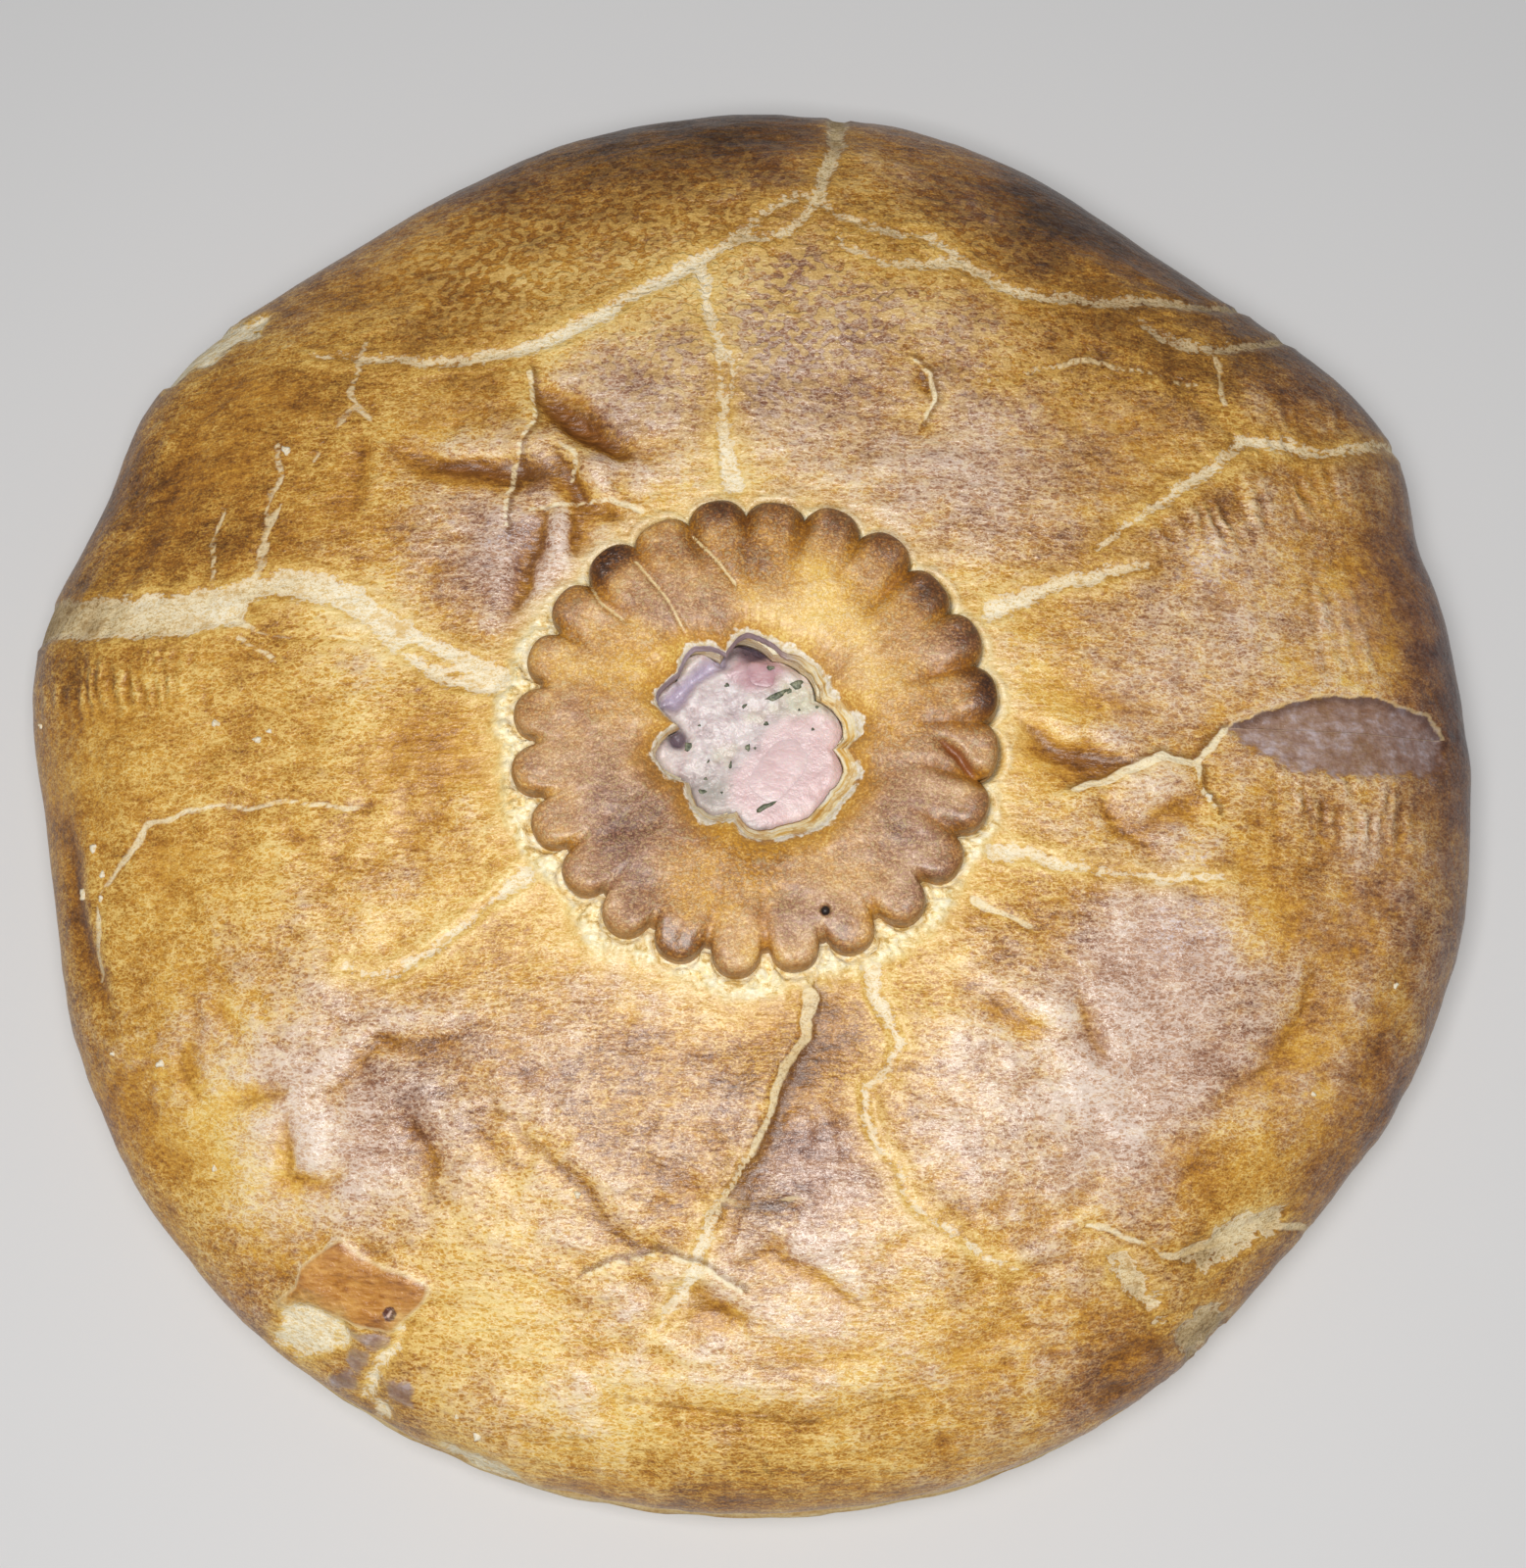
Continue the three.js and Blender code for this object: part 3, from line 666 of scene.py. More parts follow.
# %% Patches where the top layer is gone or lifted
LENS = [(1.5, 86), (3, 91), (5, 100), (5.6, 110), (5, 120), (4, 129), (1.5, 133), (358.5, 131),
        (357.7, 120), (357, 110), (357, 100), (359.5, 91)]
FLAP = [(229.4, 121.5), (230.3, 116.3), (232.8, 116.5), (235.3, 115.5), (237.7, 114.5), (239.4, 114.2),
        (239.5, 117.6), (239.1, 120.6), (238.4, 124.6), (236.4, 126), (234, 127.2), (231.9, 127.8),
        (230.4, 130), (229.6, 132), (229.2, 131.2), (229.7, 127.6), (229.1, 124.4)]
TORN = {
    "hole": [
        (229.7, 131.6), (230.6, 129.6), (232, 127.8), (233.9, 127.4), (234.7, 128), (235.6, 129),
        (236, 130.4), (235.4, 132), (234.6, 134), (234, 136), (232.6, 137), (231.6, 137.5), (230.5, 137),
        (230.1, 136.5), (230.5, 134.6),
    ],
    "strip": [
        (238.7, 122), (239.3, 122.4), (239.6, 126.4), (239.5, 130), (239.3, 135.6), (238.4, 137.6),
        (238.1, 134.4), (238.4, 130), (238.7, 126),
    ],
    "low_edge": [(239.6, 136), (241.4, 135.6), (241, 138), (239.8, 138.4)],
    "far_left": [
        (146.5, 141), (147, 136), (143.5, 131), (138.5, 128.5), (136.5, 133), (139, 140), (142.5, 143),
    ],
    "near_right_a": [
        (302.9, 113.4), (305.7, 115), (306.3, 124.3), (305.6, 131.6), (304.6, 128.3), (303.7, 120.9),
    ],
    "near_right_b": [
        (309, 122.6), (312.9, 122.8), (317, 127.1), (319.9, 132.4), (318.3, 134.3), (314.2, 131.2),
        (310.3, 128),
    ],
    "near_right_c": [(304.9, 132.5), (309, 132), (311, 138), (309.3, 141), (305.8, 140)],
    "near_left_edge": [(247, 141), (245, 137.5), (251, 137), (253, 140)],
}
PITS = {
    "under_flap": [
        (234.3, 127.9), (236.4, 126.6), (238.5, 125.2), (239, 126.8), (238.2, 128.6), (236.4, 129),
        (235, 129.2),
    ],
    "below": [(235.9, 129.8), (237.8, 129), (238, 131.4), (237.6, 134), (236, 133.6), (236, 131.6)],
    "lump": [(235.3, 136.8), (236.6, 134.4), (237.9, 133.6), (238.1, 136), (237.2, 137.6), (235.8, 138)],
    "right": [(239.3, 132), (241.9, 130.4), (242.7, 134.2), (240.7, 135)],
}
ISLANDS = {
    "west_a": [(163, 97), (166, 98.5), (166.6, 84), (164.5, 79), (162.3, 83), (162.2, 91)],
    "west_b": [(164.2, 67.5), (166, 68), (167, 59), (165.2, 57)],
    "west_c": [(166.8, 58), (167.8, 58), (168, 54.5), (167, 54.5)],
    "hole_b": [(234, 129.6), (234.8, 129.4), (235, 131.2), (234.4, 131.6)],
}
BLISTER = (237.5, 121.8, 1.3)  # direction, distance and radius of the blister on the flap


def deepest(x, y, patches):
    """The largest depth inside any of several patches."""
    return np.max([patch_depth(x, y, corners) for corners in patches.values()], axis=0)


print(len(TORN), "torn patches", len(PITS), "pits", len(ISLANDS), "islands of crust left in the seams")

# %% [markdown]
# ## The crust's relief
#
# Cracks look drawn by a ruler unless their edges wander, so every point is first shifted a little by
# noise before its distances are measured. The relief then adds up: seams are shallow trenches with a
# lifted lip, folds are deep and soft, and the shoulder is wrinkled where the dough was pressed together.
# Round the collar the dough was squeezed up, in a thin lip on the far side and in heaped clots on the
# near side.

# %% Depths of every crack and patch
WANDER = 1.0  # how far the edges of cracks stray
shift_x = WANDER * layered_noise(crust_x / 6, crust_y / 6, 11, 4)
shift_y = WANDER * layered_noise(crust_x / 6, crust_y / 6, 21, 4)
warp_x, warp_y = crust_x + shift_x, crust_y + shift_y

seam = np.max([route_depth(warp_x, warp_y, route)[0] for route in SEAMS.values()], axis=0)
crack = np.max([route_depth(warp_x, warp_y, route)[0] for route in CRACKS.values()], axis=0)
crumbling = smooth(-0.1, 0.35, layered_noise(crust_x / 3.4, crust_y / 3.4, 27, 3))
torn = deepest(warp_x, warp_y, TORN) - np.where((crust_x > 0) | (crust_y > 0), 1.9, 0.6) * crumbling
pit = deepest(crust_x + shift_x / 2, crust_y + shift_y / 2, PITS)
island = deepest(warp_x, warp_y, ISLANDS)
lens_top = (np.degrees(crust_turn) + 90) % 360 > 91.5  # its far edge is sharp, its near edge fades
lens = patch_depth(warp_x, warp_y, LENS) * np.where(lens_top, 1.0, 0.4)
flap = patch_depth(crust_x + shift_x / 3, crust_y + shift_y / 3, FLAP)
blister_x, blister_y = plan(*BLISTER[:2])
blister = np.hypot(crust_x - blister_x, crust_y - blister_y)

edge, edge_side = np.full(crust_x.shape, -99.0), np.zeros(crust_x.shape)
for route in FLAKE_EDGES.values():
    inside, _, side = route_depth(warp_x, warp_y, route)
    edge_side = np.where(inside > edge, side, edge_side)
    edge = np.maximum(edge, inside)
broken = 0.6 * smooth(0.1, 0.5, layered_noise(crust_x / 13, crust_y / 13, 25, 2))
print("points in seams", int((seam > 0).sum()), "in cracks", int((crack > 0).sum()))


def fold_shape(depth, lean, core, route):
    """A valley that is steep on its higher side, the swelling beyond that side, and its amber line.

    Valley and swelling are bell curves of the distance across, counted in half widths, and fade towards
    the ends. The line is how far inside the fold's core a point lies.
    """
    inside, along, side = route_depth(warp_x, warp_y, route)
    half = np.interp(along, np.linspace(0, 1, len(route)), [stop[2] / 2 for stop in route])
    across = (half - inside) / half * side * lean
    fade = np.sin(np.pi * np.clip(along, 0.02, 0.98)) ** 0.6
    valley = depth * fade * np.exp(-((across / np.where(across > 0, 0.7, 1.4)) ** 2))
    swelling = 0.5 * depth * fade * np.exp(-(((across - 1.9) / 1.1) ** 2))
    return valley, swelling, core / 2 * fade - (half - inside)


fold_parts = list(zip(*(fold_shape(*entry) for entry in FOLDS.values())))
fold, swelling, crease = sum(fold_parts[0]), sum(fold_parts[1]), np.max(fold_parts[2], axis=0)
print("deepest fold", round(float(fold.max()), 2), "mm")

# %% Swells, ridges and crinkles
SWELLS = [(3, 0.9, 0.9), (5, 1.7, 0.6), (8, 2.6, 0.4)]  # waves round, waves outwards, height
# Ridges: middle as direction and distance, heading, reach along and across, spacing, strength
RIDGES = [
    (173.5, 119, 92, 5, 17, 2.6, 0.9),
    (26, 104, 111, 4.5, 19, 3.1, 0.9),
    (32.5, 116, 111, 4, 16, 3.2, 0.7),
    (12, 114, 98, 14, 6, 3.6, 0.6),
    (354.3, 111, 86, 6, 15, 3.2, 0.8),
    (258, 131, 78, 7, 26, 3.4, 0.3),
    (281, 128, 100, 7, 20, 3.6, 0.3),
    (205, 124, 15, 8, 12, 3.8, 0.35),
]


def swell(distance, turn):
    """Low waves round the pie times waves outwards, dying away at the collar and at the shoulder."""
    share = distance / PIE_RADIUS
    waves = sum(
        height * np.cos(round_ * turn) * np.sin(2 * np.pi * outward * share)
        for round_, outward, height in SWELLS
    )
    return waves * smooth(0.37, 0.58, share) * (1 - smooth(0.85, 1, share))


def ridges(x, y):
    """Which ridge a point lies on, counted across the row, and how strong the ridges are there.

    Each row of ridges fades as a bell curve along and across; the strongest row wins.
    """
    count, strength = np.zeros(x.shape), np.zeros(x.shape)
    stray = 2.2 * layered_noise(x / 10, y / 10, 31, 3)
    broken = smooth(-0.45, 0.25, noise(x / 6, y / 6, 35))
    for direction, distance, heading, along_reach, across_reach, spacing, amount in RIDGES:
        middle_x, middle_y = plan(direction, distance)
        ahead, aside = np.cos(np.radians(heading)), np.sin(np.radians(heading))
        along = (x - middle_x) * ahead + (y - middle_y) * aside
        across = (y - middle_y) * ahead - (x - middle_x) * aside
        here = amount * broken * np.exp(-((along / along_reach) ** 2) - (across / across_reach) ** 4)
        count = np.where(here > strength, (across + stray) / spacing, count)
        strength = np.maximum(strength, here)
    return count, strength


ROUND_CELLS = 34  # crinkles round the pie, each a few times longer than it is wide
round_place = crust_turn / (2 * np.pi) * ROUND_CELLS
crinkle = layered_noise(crust_d / 9.0, round_place, 41, 4, ROUND_CELLS)
crest = 0.35 - np.abs(layered_noise(crust_d / 7.0 + 5, round_place * 2, 45, 3, ROUND_CELLS * 2))
dents = layered_noise(crust_x / 30, crust_y / 24, 55, 2)
patchy = 0.5 + 1.2 * smooth(-0.3, 0.5, noise(crust_x / 35, crust_y / 35, 51))
near_side = smooth(-20, -90, crust_y)  # the near half slumped and wrinkled most
ridge_count, ridge_strength = ridges(crust_x, crust_y)
print("crinkles", round(float(np.abs(crinkle).max()), 2), "dents", round(float(np.abs(dents).max()), 2))

# %% Add up the relief
ROUND_NOTCHES = 240.0  # direction about which the flutes are fingers with round notches between them
# Heights and depths of the relief, in millimetres
RIDGE, CRINKLE, CREST, NEAR_CREST, DENT = 0.3, 0.45, 0.22, 0.5, 0.6
PALE_DEPTH, SEAM_LIP, CRACK_DEPTH, FLAKE_LIFT = 0.4, 0.2, 0.25, 0.32
LENS_DEPTH, LENS_LIP, FLAP_LIFT, PIT_LIFT, TORN_DEPTH = 0.6, 0.25, 1.1, 0.4, 0.5


def finger_side(turn):
    """1 on the side where the flutes are fingers, 0 on the other."""
    return smooth(-0.5, 0.4, np.cos(turn - math.radians(ROUND_NOTCHES)))


def collar_edge(turn):
    """The collar's outline over one flute: a scallop with sharp cusps on the far side, blending into
    fingers with round notches on the near side."""
    phase = (np.degrees(turn) - FLUTE_START) / (360 / FLUTES)
    across = 2 * np.abs(phase - np.round(phase))
    scallop = 1 - np.sqrt(1 - 0.96 * across**2.2)
    finger = 1.25 * (1 - np.sqrt(1 - 0.98 * np.minimum(across / 0.85, 1) ** 2.2))
    return COLLAR_RADIUS - FLUTE_DEPTH * (scallop + finger_side(turn) * (finger - scallop))


from_collar = crust_d - collar_edge(crust_turn)
moat_width = 1.4 + 2.6 * finger_side(crust_turn) + 3.0 * layered_noise(crust_x / 12, crust_y / 12, 61, 3)
from_ring = crust_d - COLLAR_RADIUS + 1.5  # counted from a circle, so that the outer edge is not fluted
moat = moat_width - from_ring
seam = seam - 5 * smooth(146, 162, crust_d)  # the seams thin out down the wall
pale = np.minimum(np.maximum(seam, torn), 0.3 - island)
under_collar = crust_d < 40.5

relief = swell(crust_d, crust_turn) + RIDGE * ridge_strength * np.cos(2 * np.pi * ridge_count)
relief = relief + patchy * (CRINKLE * crinkle + (CREST + NEAR_CREST * near_side) * crest) + DENT * dents
relief = relief - fold + swelling - PALE_DEPTH * smooth(-0.6, 0.9, pale)
relief = relief + SEAM_LIP * np.exp(-(((seam + 0.9) / 0.9) ** 2)) - CRACK_DEPTH * smooth(-0.5, 0.3, crack)
relief = relief + FLAKE_LIFT * edge_side * smooth(0, 1.4, 0.5 - edge) * np.exp(np.minimum(edge, 0) / 3)
lens_rise = LENS_LIP * np.exp(-(((lens + 0.8) / 0.8) ** 2)) * lens_top
relief = relief - LENS_DEPTH * smooth(-0.2, 0.5, lens) + lens_rise
relief = relief + FLAP_LIFT * smooth(-0.5, 0.4, flap) + PIT_LIFT * smooth(-0.3, 0.8, pit)
relief = relief - TORN_DEPTH * smooth(-0.3, 0.8, torn)
clots = layered_noise(crust_x / 1.6, crust_y / 1.6, 63, 2)
relief = relief - (0.5 - 0.45 * clots) * smooth(-1.5, 2.5, moat)
relief = np.where(relief > 0, relief * smooth(44, 51, crust_d), relief) * smooth(41, 44, crust_d)
far_lip = 0.5 * np.exp(-(((from_collar - 1.5) / 0.7) ** 2)) - 0.4 * smooth(1.2, 0.2, from_collar)
heaped = smooth(0.3, 1.3, from_collar) * smooth(-2.0, 2.5, moat) * (1.5 + 1.4 * clots)
relief = relief + far_lip + (heaped - far_lip) * finger_side(crust_turn)
relief = relief * (1 - 0.6 * smooth(PIE_RADIUS + 8, PIE_RADIUS + 18, crust_d))
print("relief from", round(float(relief.min()), 2), "to", round(float(relief.max()), 2), "mm")

# %% [markdown]
# ## Browning
#
# Some sides of the crust are browner than others, and it darkens towards the rim. Raised places are painted
# paler, dusty and lilac, partly because they lost their glaze and partly as painted sheen, and hollows are
# painted darker amber, partly egg wash pooled there and partly painted shade. So the relief, less its local
# mean,
# says how raised each point is, and broad soft zones say where the crust is brown, where it is
# dusty, where its pale net is dense, and where the wash bubbled or still looks wet. A painted picture could
# hold all this, but a few zones are easier to change.

# %% How raised and how brown each point is
# Broad zones: direction, distance, spread, amount
BROWN_ZONES = [
    (98, 132, 28, 0.32), (250, 80, 22, 0.08), (46, 92, 22, 0.06), (128, 107, 13, 0.10),
    (150, 57, 8, 0.10), (330, 104, 10, 0.12), (60, 127, 24, 0.28), (40, 128, 18, 0.18),
    (118, 71, 10, 0.10), (83, 84, 16, 0.12), (3, 136, 18, 0.26), (330, 135, 13, 0.16),
    (300, 135, 12, 0.12), (112, 134, 12, 0.12), (152, 112, 20, 0.12), (165, 128, 18, 0.18),
    (187, 119, 15, 0.08), (240, 70, 22, 0.04), (270, 66, 20, 0.06), (278, 75, 9, 0.10),
    (272, 84, 9, 0.10), (282, 57, 12, 0.16), (312, 118, 14, 0.16), (225, 88, 10, 0.14),
    (75, 104, 10, 0.08), (345, 104, 10, 0.08), (240, 131, 10, 0.12), (330, 57, 9, 0.08),
    (141, 58, 10, 0.10), (112, 99, 18, -0.14), (135, 88, 9, -0.12), (165, 77, 12, -0.16),
    (105, 56, 10, -0.12), (60, 74, 12, -0.12), (95, 92, 14, -0.14), (62, 103, 12, -0.06),
    (12, 116, 12, -0.10), (6, 56, 9, -0.08), (17, 88, 12, -0.06), (221, 115, 18, -0.16),
    (211, 72, 10, -0.08), (243, 114, 16, -0.16), (257, 122, 16, -0.18), (278, 103, 16, -0.14),
    (285, 72, 9, -0.10), (212, 117, 11, -0.14), (181, 130, 10, -0.12), (84, 97, 12, -0.08),
    (288, 122, 16, -0.08), (316, 94, 15, -0.14), (330, 117, 10, -0.14), (345, 131, 9, 0.16),
    (120, 104, 9, 0.12), (270, 88, 8, 0.12), (300, 118, 8, 0.08), (62, 131, 12, 0.10),
    (90, 132, 16, 0.10), (15, 72, 7, 0.08), (285, 56, 7, 0.10), (135, 88, 8, -0.08),
    (150, 119, 9, -0.10), (195, 88, 9, -0.10), (255, 130, 9, -0.08), (210, 105, 9, -0.07),
    (75, 88, 8, -0.07),
]
# Dusty zones: matt mauve crust with a lilac net, partly painted sheen. Direction, distance, spread, amount
DUSTY_SHEEN_ZONES = [
    (83.6, 81, 18, 0.8), (141, 58, 14, 0.9), (112, 74, 12, 0.5), (17, 90, 18, 0.3), (55, 69, 18, 0.6),
    (329, 84, 22, 0.9), (315, 102, 20, 0.8), (298, 77, 16, 0.4), (219, 101, 18, 0.55),
    (228, 103, 14, 0.4), (238, 70, 16, 0.2), (277, 79, 12, 0.9), (347, 113, 14, 0.5),
    (258, 108, 18, 0.4), (95, 62, 14, 0.3), (165, 74, 12, 0.4), (272, 103, 18, 0.6), (2, 72, 12, 0.4),
    (182, 95, 26, -0.8), (181, 61, 12, -0.7), (302, 53, 10, -0.5), (316, 75, 8, -0.4),
    (317, 119, 14, -1.0), (269, 130, 36, -0.6), (216, 127, 14, -0.6), (2, 56, 10, -0.6),
    (213, 53, 14, -0.7), (148, 113, 26, -0.9), (122, 108, 22, -0.6), (190, 122, 24, -0.8),
    (243, 114, 14, -0.3), (281, 56, 13, -1.0), (50, 120, 20, -0.7), (100, 130, 24, -0.6),
    (166, 130, 20, -0.8), (345, 104, 12, -0.8), (331, 56, 10, -0.5), (76, 104, 12, -0.4),
]
BLOOM_ZONES = [
    (243, 112, 20, 0.4), (300, 70, 22, 0.3), (212, 90, 20, 0.2), (242, 88, 16, 0.2), (60, 62, 20, 0.3),
    (92, 62, 16, 0.3), (100, 84, 14, 0.4), (75, 92, 18, 0.2), (180, 95, 16, 0.1), (262, 116, 22, 0.2),
    (316, 95, 16, 0.3), (226, 106, 14, 0.15), (165, 75, 12, 0.3), (17, 88, 16, 0.2),
    (90, 128, 26, -0.25), (60, 124, 26, -0.35), (120, 118, 24, -0.25), (10, 130, 24, -0.4),
    (330, 130, 16, -0.3), (182, 62, 10, -0.5), (2, 56, 10, -0.4), (210, 130, 12, -0.3),
    (302, 132, 12, -0.3), (277, 76, 10, -0.3), (152, 112, 22, -0.35), (186, 124, 20, -0.3),
    (282, 57, 12, -0.4), (316, 119, 14, -0.4), (345, 104, 10, -0.3),
]
# Where the egg wash blistered into tiny bubbles
BUBBLY_ZONES = [(95, 92, 30, 0.9), (70, 100, 26, 0.6), (118, 112, 24, 0.6), (48, 96, 22, 0.3)]
# Small wet-looking places that get painted glints
SHEEN_ZONES = [(23, 92, 6, 0.6), (335, 86, 8, 0.7), (345, 84, 5, 0.5), (139, 60, 7, 0.5), (4, 113, 7, 0.4)]


def zones(entries, x=crust_x, y=crust_y):
    """The sum of soft round spots, each its amount times a bell curve of the distance from its middle."""
    total = np.zeros(x.shape)
    for direction, distance, spread, amount in entries:
        zone_x, zone_y = plan(direction, distance)
        total += amount * np.exp(-((x - zone_x) ** 2 + (y - zone_y) ** 2) / spread**2)
    return total


# Raised places are painted paler and more lilac, and hollows darker amber: partly the glaze's own pooling,
# partly painted sheen on the crests and painted shade in the hollows
raised = np.clip((relief - blurred(relief, 5)) / 0.6, -1, 1)
beside_seam = np.exp(np.minimum(np.maximum(pale, np.maximum(crack, edge)), 0) / 3)
brown = 0.46 + zones(BROWN_ZONES) + 0.12 * layered_noise(crust_x / 24, crust_y / 24, 71, 3) - 0.10 * raised
brown += 0.10 * smooth(-10, 90, crust_y)
brown += 0.14 * smooth(118, 139, crust_d) - 0.12 * smooth(150, 158, crust_d) + 0.06 * beside_seam
bared = np.where(crust_x < 0, 0.35, -0.06)  # torn dough is white on the left and ochre on the right
brown -= 0.10 * np.exp(-(((crust_d - 50) / 7) ** 2)) + bared * smooth(-1, 1, torn)
dusty = 0.12 + zones(DUSTY_SHEEN_ZONES) + 0.25 * layered_noise(crust_x / 16, crust_y / 16, 75, 3) + 0.28 * raised
dusty -= 0.5 * beside_seam + 0.5 * smooth(0.3, 1.2, fold)
bloom = 0.38 + zones(BLOOM_ZONES) + 0.3 * layered_noise(crust_x / 16, crust_y / 13, 79, 2) + 0.35 * raised
bloom -= 0.5 * smooth(0.2, 1.0, fold) - 0.2 * beside_seam
right_edge = np.exp(-(((np.degrees(crust_turn) - 8 + 180) % 360 - 180) / 36) ** 2)
purple = smooth(116, 137, crust_d + 6 * layered_noise(crust_x / 12, crust_y / 12, 77, 2)) * right_edge
print("browning from", round(float(brown.min()), 2), "to", round(float(brown.max()), 2))

# %% Build the lid
REACH = 6.0  # distances to an edge are kept up to this far from it, in millimetres


def held(depth):
    """A depth held between minus and plus the reach."""
    return np.clip(depth, -REACH, REACH)


def whole_lid(outer, rest):
    """Outer rows followed by one number for every row of the inside."""
    inner = np.full((len(row_distance) - OUTER_ROWS, LID_COLUMNS), rest)
    return np.concatenate([outer, inner])


lid_shape = lid_bare + surface_normals(lid_bare) * whole_lid(relief, 0.0)[..., None]
lid = ring_piece("lid_crust", lid_shape, {
    "pale": whole_lid(np.where(under_collar, REACH, held(pale)), REACH),
    "moat": whole_lid(held(moat), -REACH),
    "gap": whole_lid(np.where(under_collar, REACH, held(from_collar + finger_side(crust_turn))), REACH),
    "crack": whole_lid(held(crack - broken), -REACH),
    "edge": whole_lid(held(edge), -REACH),
    "edge_side": whole_lid(edge_side * np.clip(0.5 - edge, 0, REACH), REACH),
    "fold": whole_lid(fold, 0.0),
    "crease": whole_lid(held(crease), -REACH),
    "ridge_count": whole_lid(ridge_count, 0.0),
    "ridge_strength": whole_lid(ridge_strength, 0.0),
    "lens": whole_lid(held(np.maximum(lens, pit)), -REACH),
    "lens_lip": whole_lid(np.where(lens_top, held(lens), -REACH), -REACH),
    "flap": whole_lid(held(flap), -REACH),
    "blister": whole_lid(np.clip(blister, 0, REACH), REACH),
    "dusty": whole_lid(np.clip(dusty, -1, 1), -1.0),
    "bloom": whole_lid(np.clip(bloom, 0, 1), 0.0),
    "bubbly": whole_lid(np.clip(zones(BUBBLY_ZONES), 0, 1), 0.0),
    "sheen": whole_lid(np.clip(zones(SHEEN_ZONES), 0, 1), 0.0),
    "purple": whole_lid(purple, 0.0),
    "brown": whole_lid(np.clip(brown, 0, 1), 0.2),
})
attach(lid, "root")
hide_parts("lid")

# %% [markdown]
# ## The glazed crust's finish
#
# Egg-washed crust is not one brown. Rolling left a grain along one direction, which shows as fine
# streaks. Over the brown lies a net of pale lines, yellow on amber crust and lilac on dusty crust; the dusty
# mauve and the lilac are partly painted sheen. Tiny blisters are painted with pale dots as highlights, a few
# places get painted glints, and hollows are clear amber. Beside the seams and the collar the
# crust is golden, and the seams themselves are matt cream dough with a brown net. The mesh carries how far
# inside each seam or patch a point lies, and noise frays that edge here, so edges stay crisp close up.

# %% Grains and tones of the crust
AMBER_STOPS = [(0.0, "F8DC94"), (0.2, "ECC05E"), (0.4, "D29A3A"), (0.58, "AE7426"), (0.76, "7C4C18"),
               (1.0, "3C220D")]
DUSTY_SHEEN_STOPS = [(0.0, "F4E2D2"), (0.2, "E2C6B0"), (0.4, "C49E88"), (0.58, "9C725E"), (0.76, "6E473A"),
               (1.0, "3E2723")]
CREAM_STOPS = [(0.2, "FFECAC"), (0.42, "F8DA88"), (0.58, "E2B658"), (0.72, "B68638"), (1.0, "704C20")]
LILAC_SHEEN_STOPS = [(0.2, "FAEEE2"), (0.42, "F0DED0"), (0.58, "DAC2AE"), (0.72, "AE9282"), (1.0, "705850")]


def crust_grains(f):
    """The crust's grains and tone by name: noises, dots of blistered wash, waves of ridges, and how brown."""
    g = SimpleNamespace(
        streak=f.grain(3.4, 0.8, 0.8, 2.0, 0.6),
        mesh=f.grain(1.3, 0.8, 0.8, 2.0, 0.65),
        fine=f.grain(0.45, 0.35, 0.35, 1.0, 0.6),
        mottle=f.grain(9, 7, 7, 3.0, 0.55),
        blotch=f.grain(3.4, 2.6, 2.6, 2.0, 0.6),
        ripple=f.grain(8, 2.4, 2.4, 2.0, 0.55),
        brown=f.read("brown"),
    )
    weave = abs(f.grain(2.2, 1.1, 1.1, 1.5, 0.5) - 0.5)
    g.weave = weave.math("MINIMUM", weave, abs(f.grain(1.3, 0.75, 0.75, 1.0, 0.5) - 0.5) * 1.2)
    bubbly = f.read("bubbly")
    g.dots = f.step(0.48, 0.58, f.grain(1.6, 1.4, 1.4, 0.0, 0.4)) * bubbly
    turns = f.read("ridge_count") * (2 * math.pi) + g.blotch.swing * 3.5
    g.wave = turns.math("COSINE", turns) * f.read("ridge_strength")
    lines = (g.streak.swing * 0.4 - g.ripple.swing * 0.35) * (1 - bubbly * 0.8)
    g.tone = g.brown + g.mottle.swing * 0.4 + lines + g.fine.swing * 0.45
    # Ridge crests are painted paler like other raised places, partly as painted sheen
    g.tone = g.tone + g.mesh.swing * 0.35 - g.wave * 0.1
    return g


# %% Glaze, net and glints
def glaze(f, g):
    """Amber or dusty brown, partly painted sheen, then the pale net, painted highlight dots and glints."""
    # Dusty crust is mauve and its net lilac white: partly the crust's own matt colour, partly painted sheen
    dust_and_sheen_level = f.read("dusty") + g.blotch.swing * 0.8 + g.mottle.swing * 0.8 + g.mesh.swing * 0.8
    dusty, lilac_sheen = f.step(-0.2, 0.8, dust_and_sheen_level), f.step(-0.5, 1.1, dust_and_sheen_level)
    colour = f.mix(dusty * 0.85, f.ramp(g.tone, AMBER_STOPS), f.ramp(g.tone, DUSTY_SHEEN_STOPS))
    cover = f.read("bloom") * 0.09 + g.blotch.swing * 0.07 + g.wave * 0.02 - 0.01
    cream = f.larger(1 - f.step(-0.03, 0.045, g.weave - cover), g.dots)
    light = f.mix(lilac_sheen * (1 - g.dots * 0.7), f.ramp(g.tone, CREAM_STOPS), f.ramp(g.tone, LILAC_SHEEN_STOPS))
    colour = f.mix(cream * 0.68, colour, light)
    # Painted highlights: pale dots on the tops of the blisters
    colour = f.mix(g.dots * 0.5, colour, f.ramp(g.tone, [(0.3, "FBE4A8"), (0.6, "E2BA6C"), (0.9, "A07838")]))
    # Painted glints: near-white specks mixed into the colour
    glitter = f.step(0.1, 0.8, f.read("sheen") + g.blotch.swing)
    glint = f.step(0.52, 0.62, g.fine * 0.4 + g.mesh * 0.6) * glitter
    colour = f.mix(glint * 0.6, colour, paint("F6EEF2"))
    return colour, light, dusty


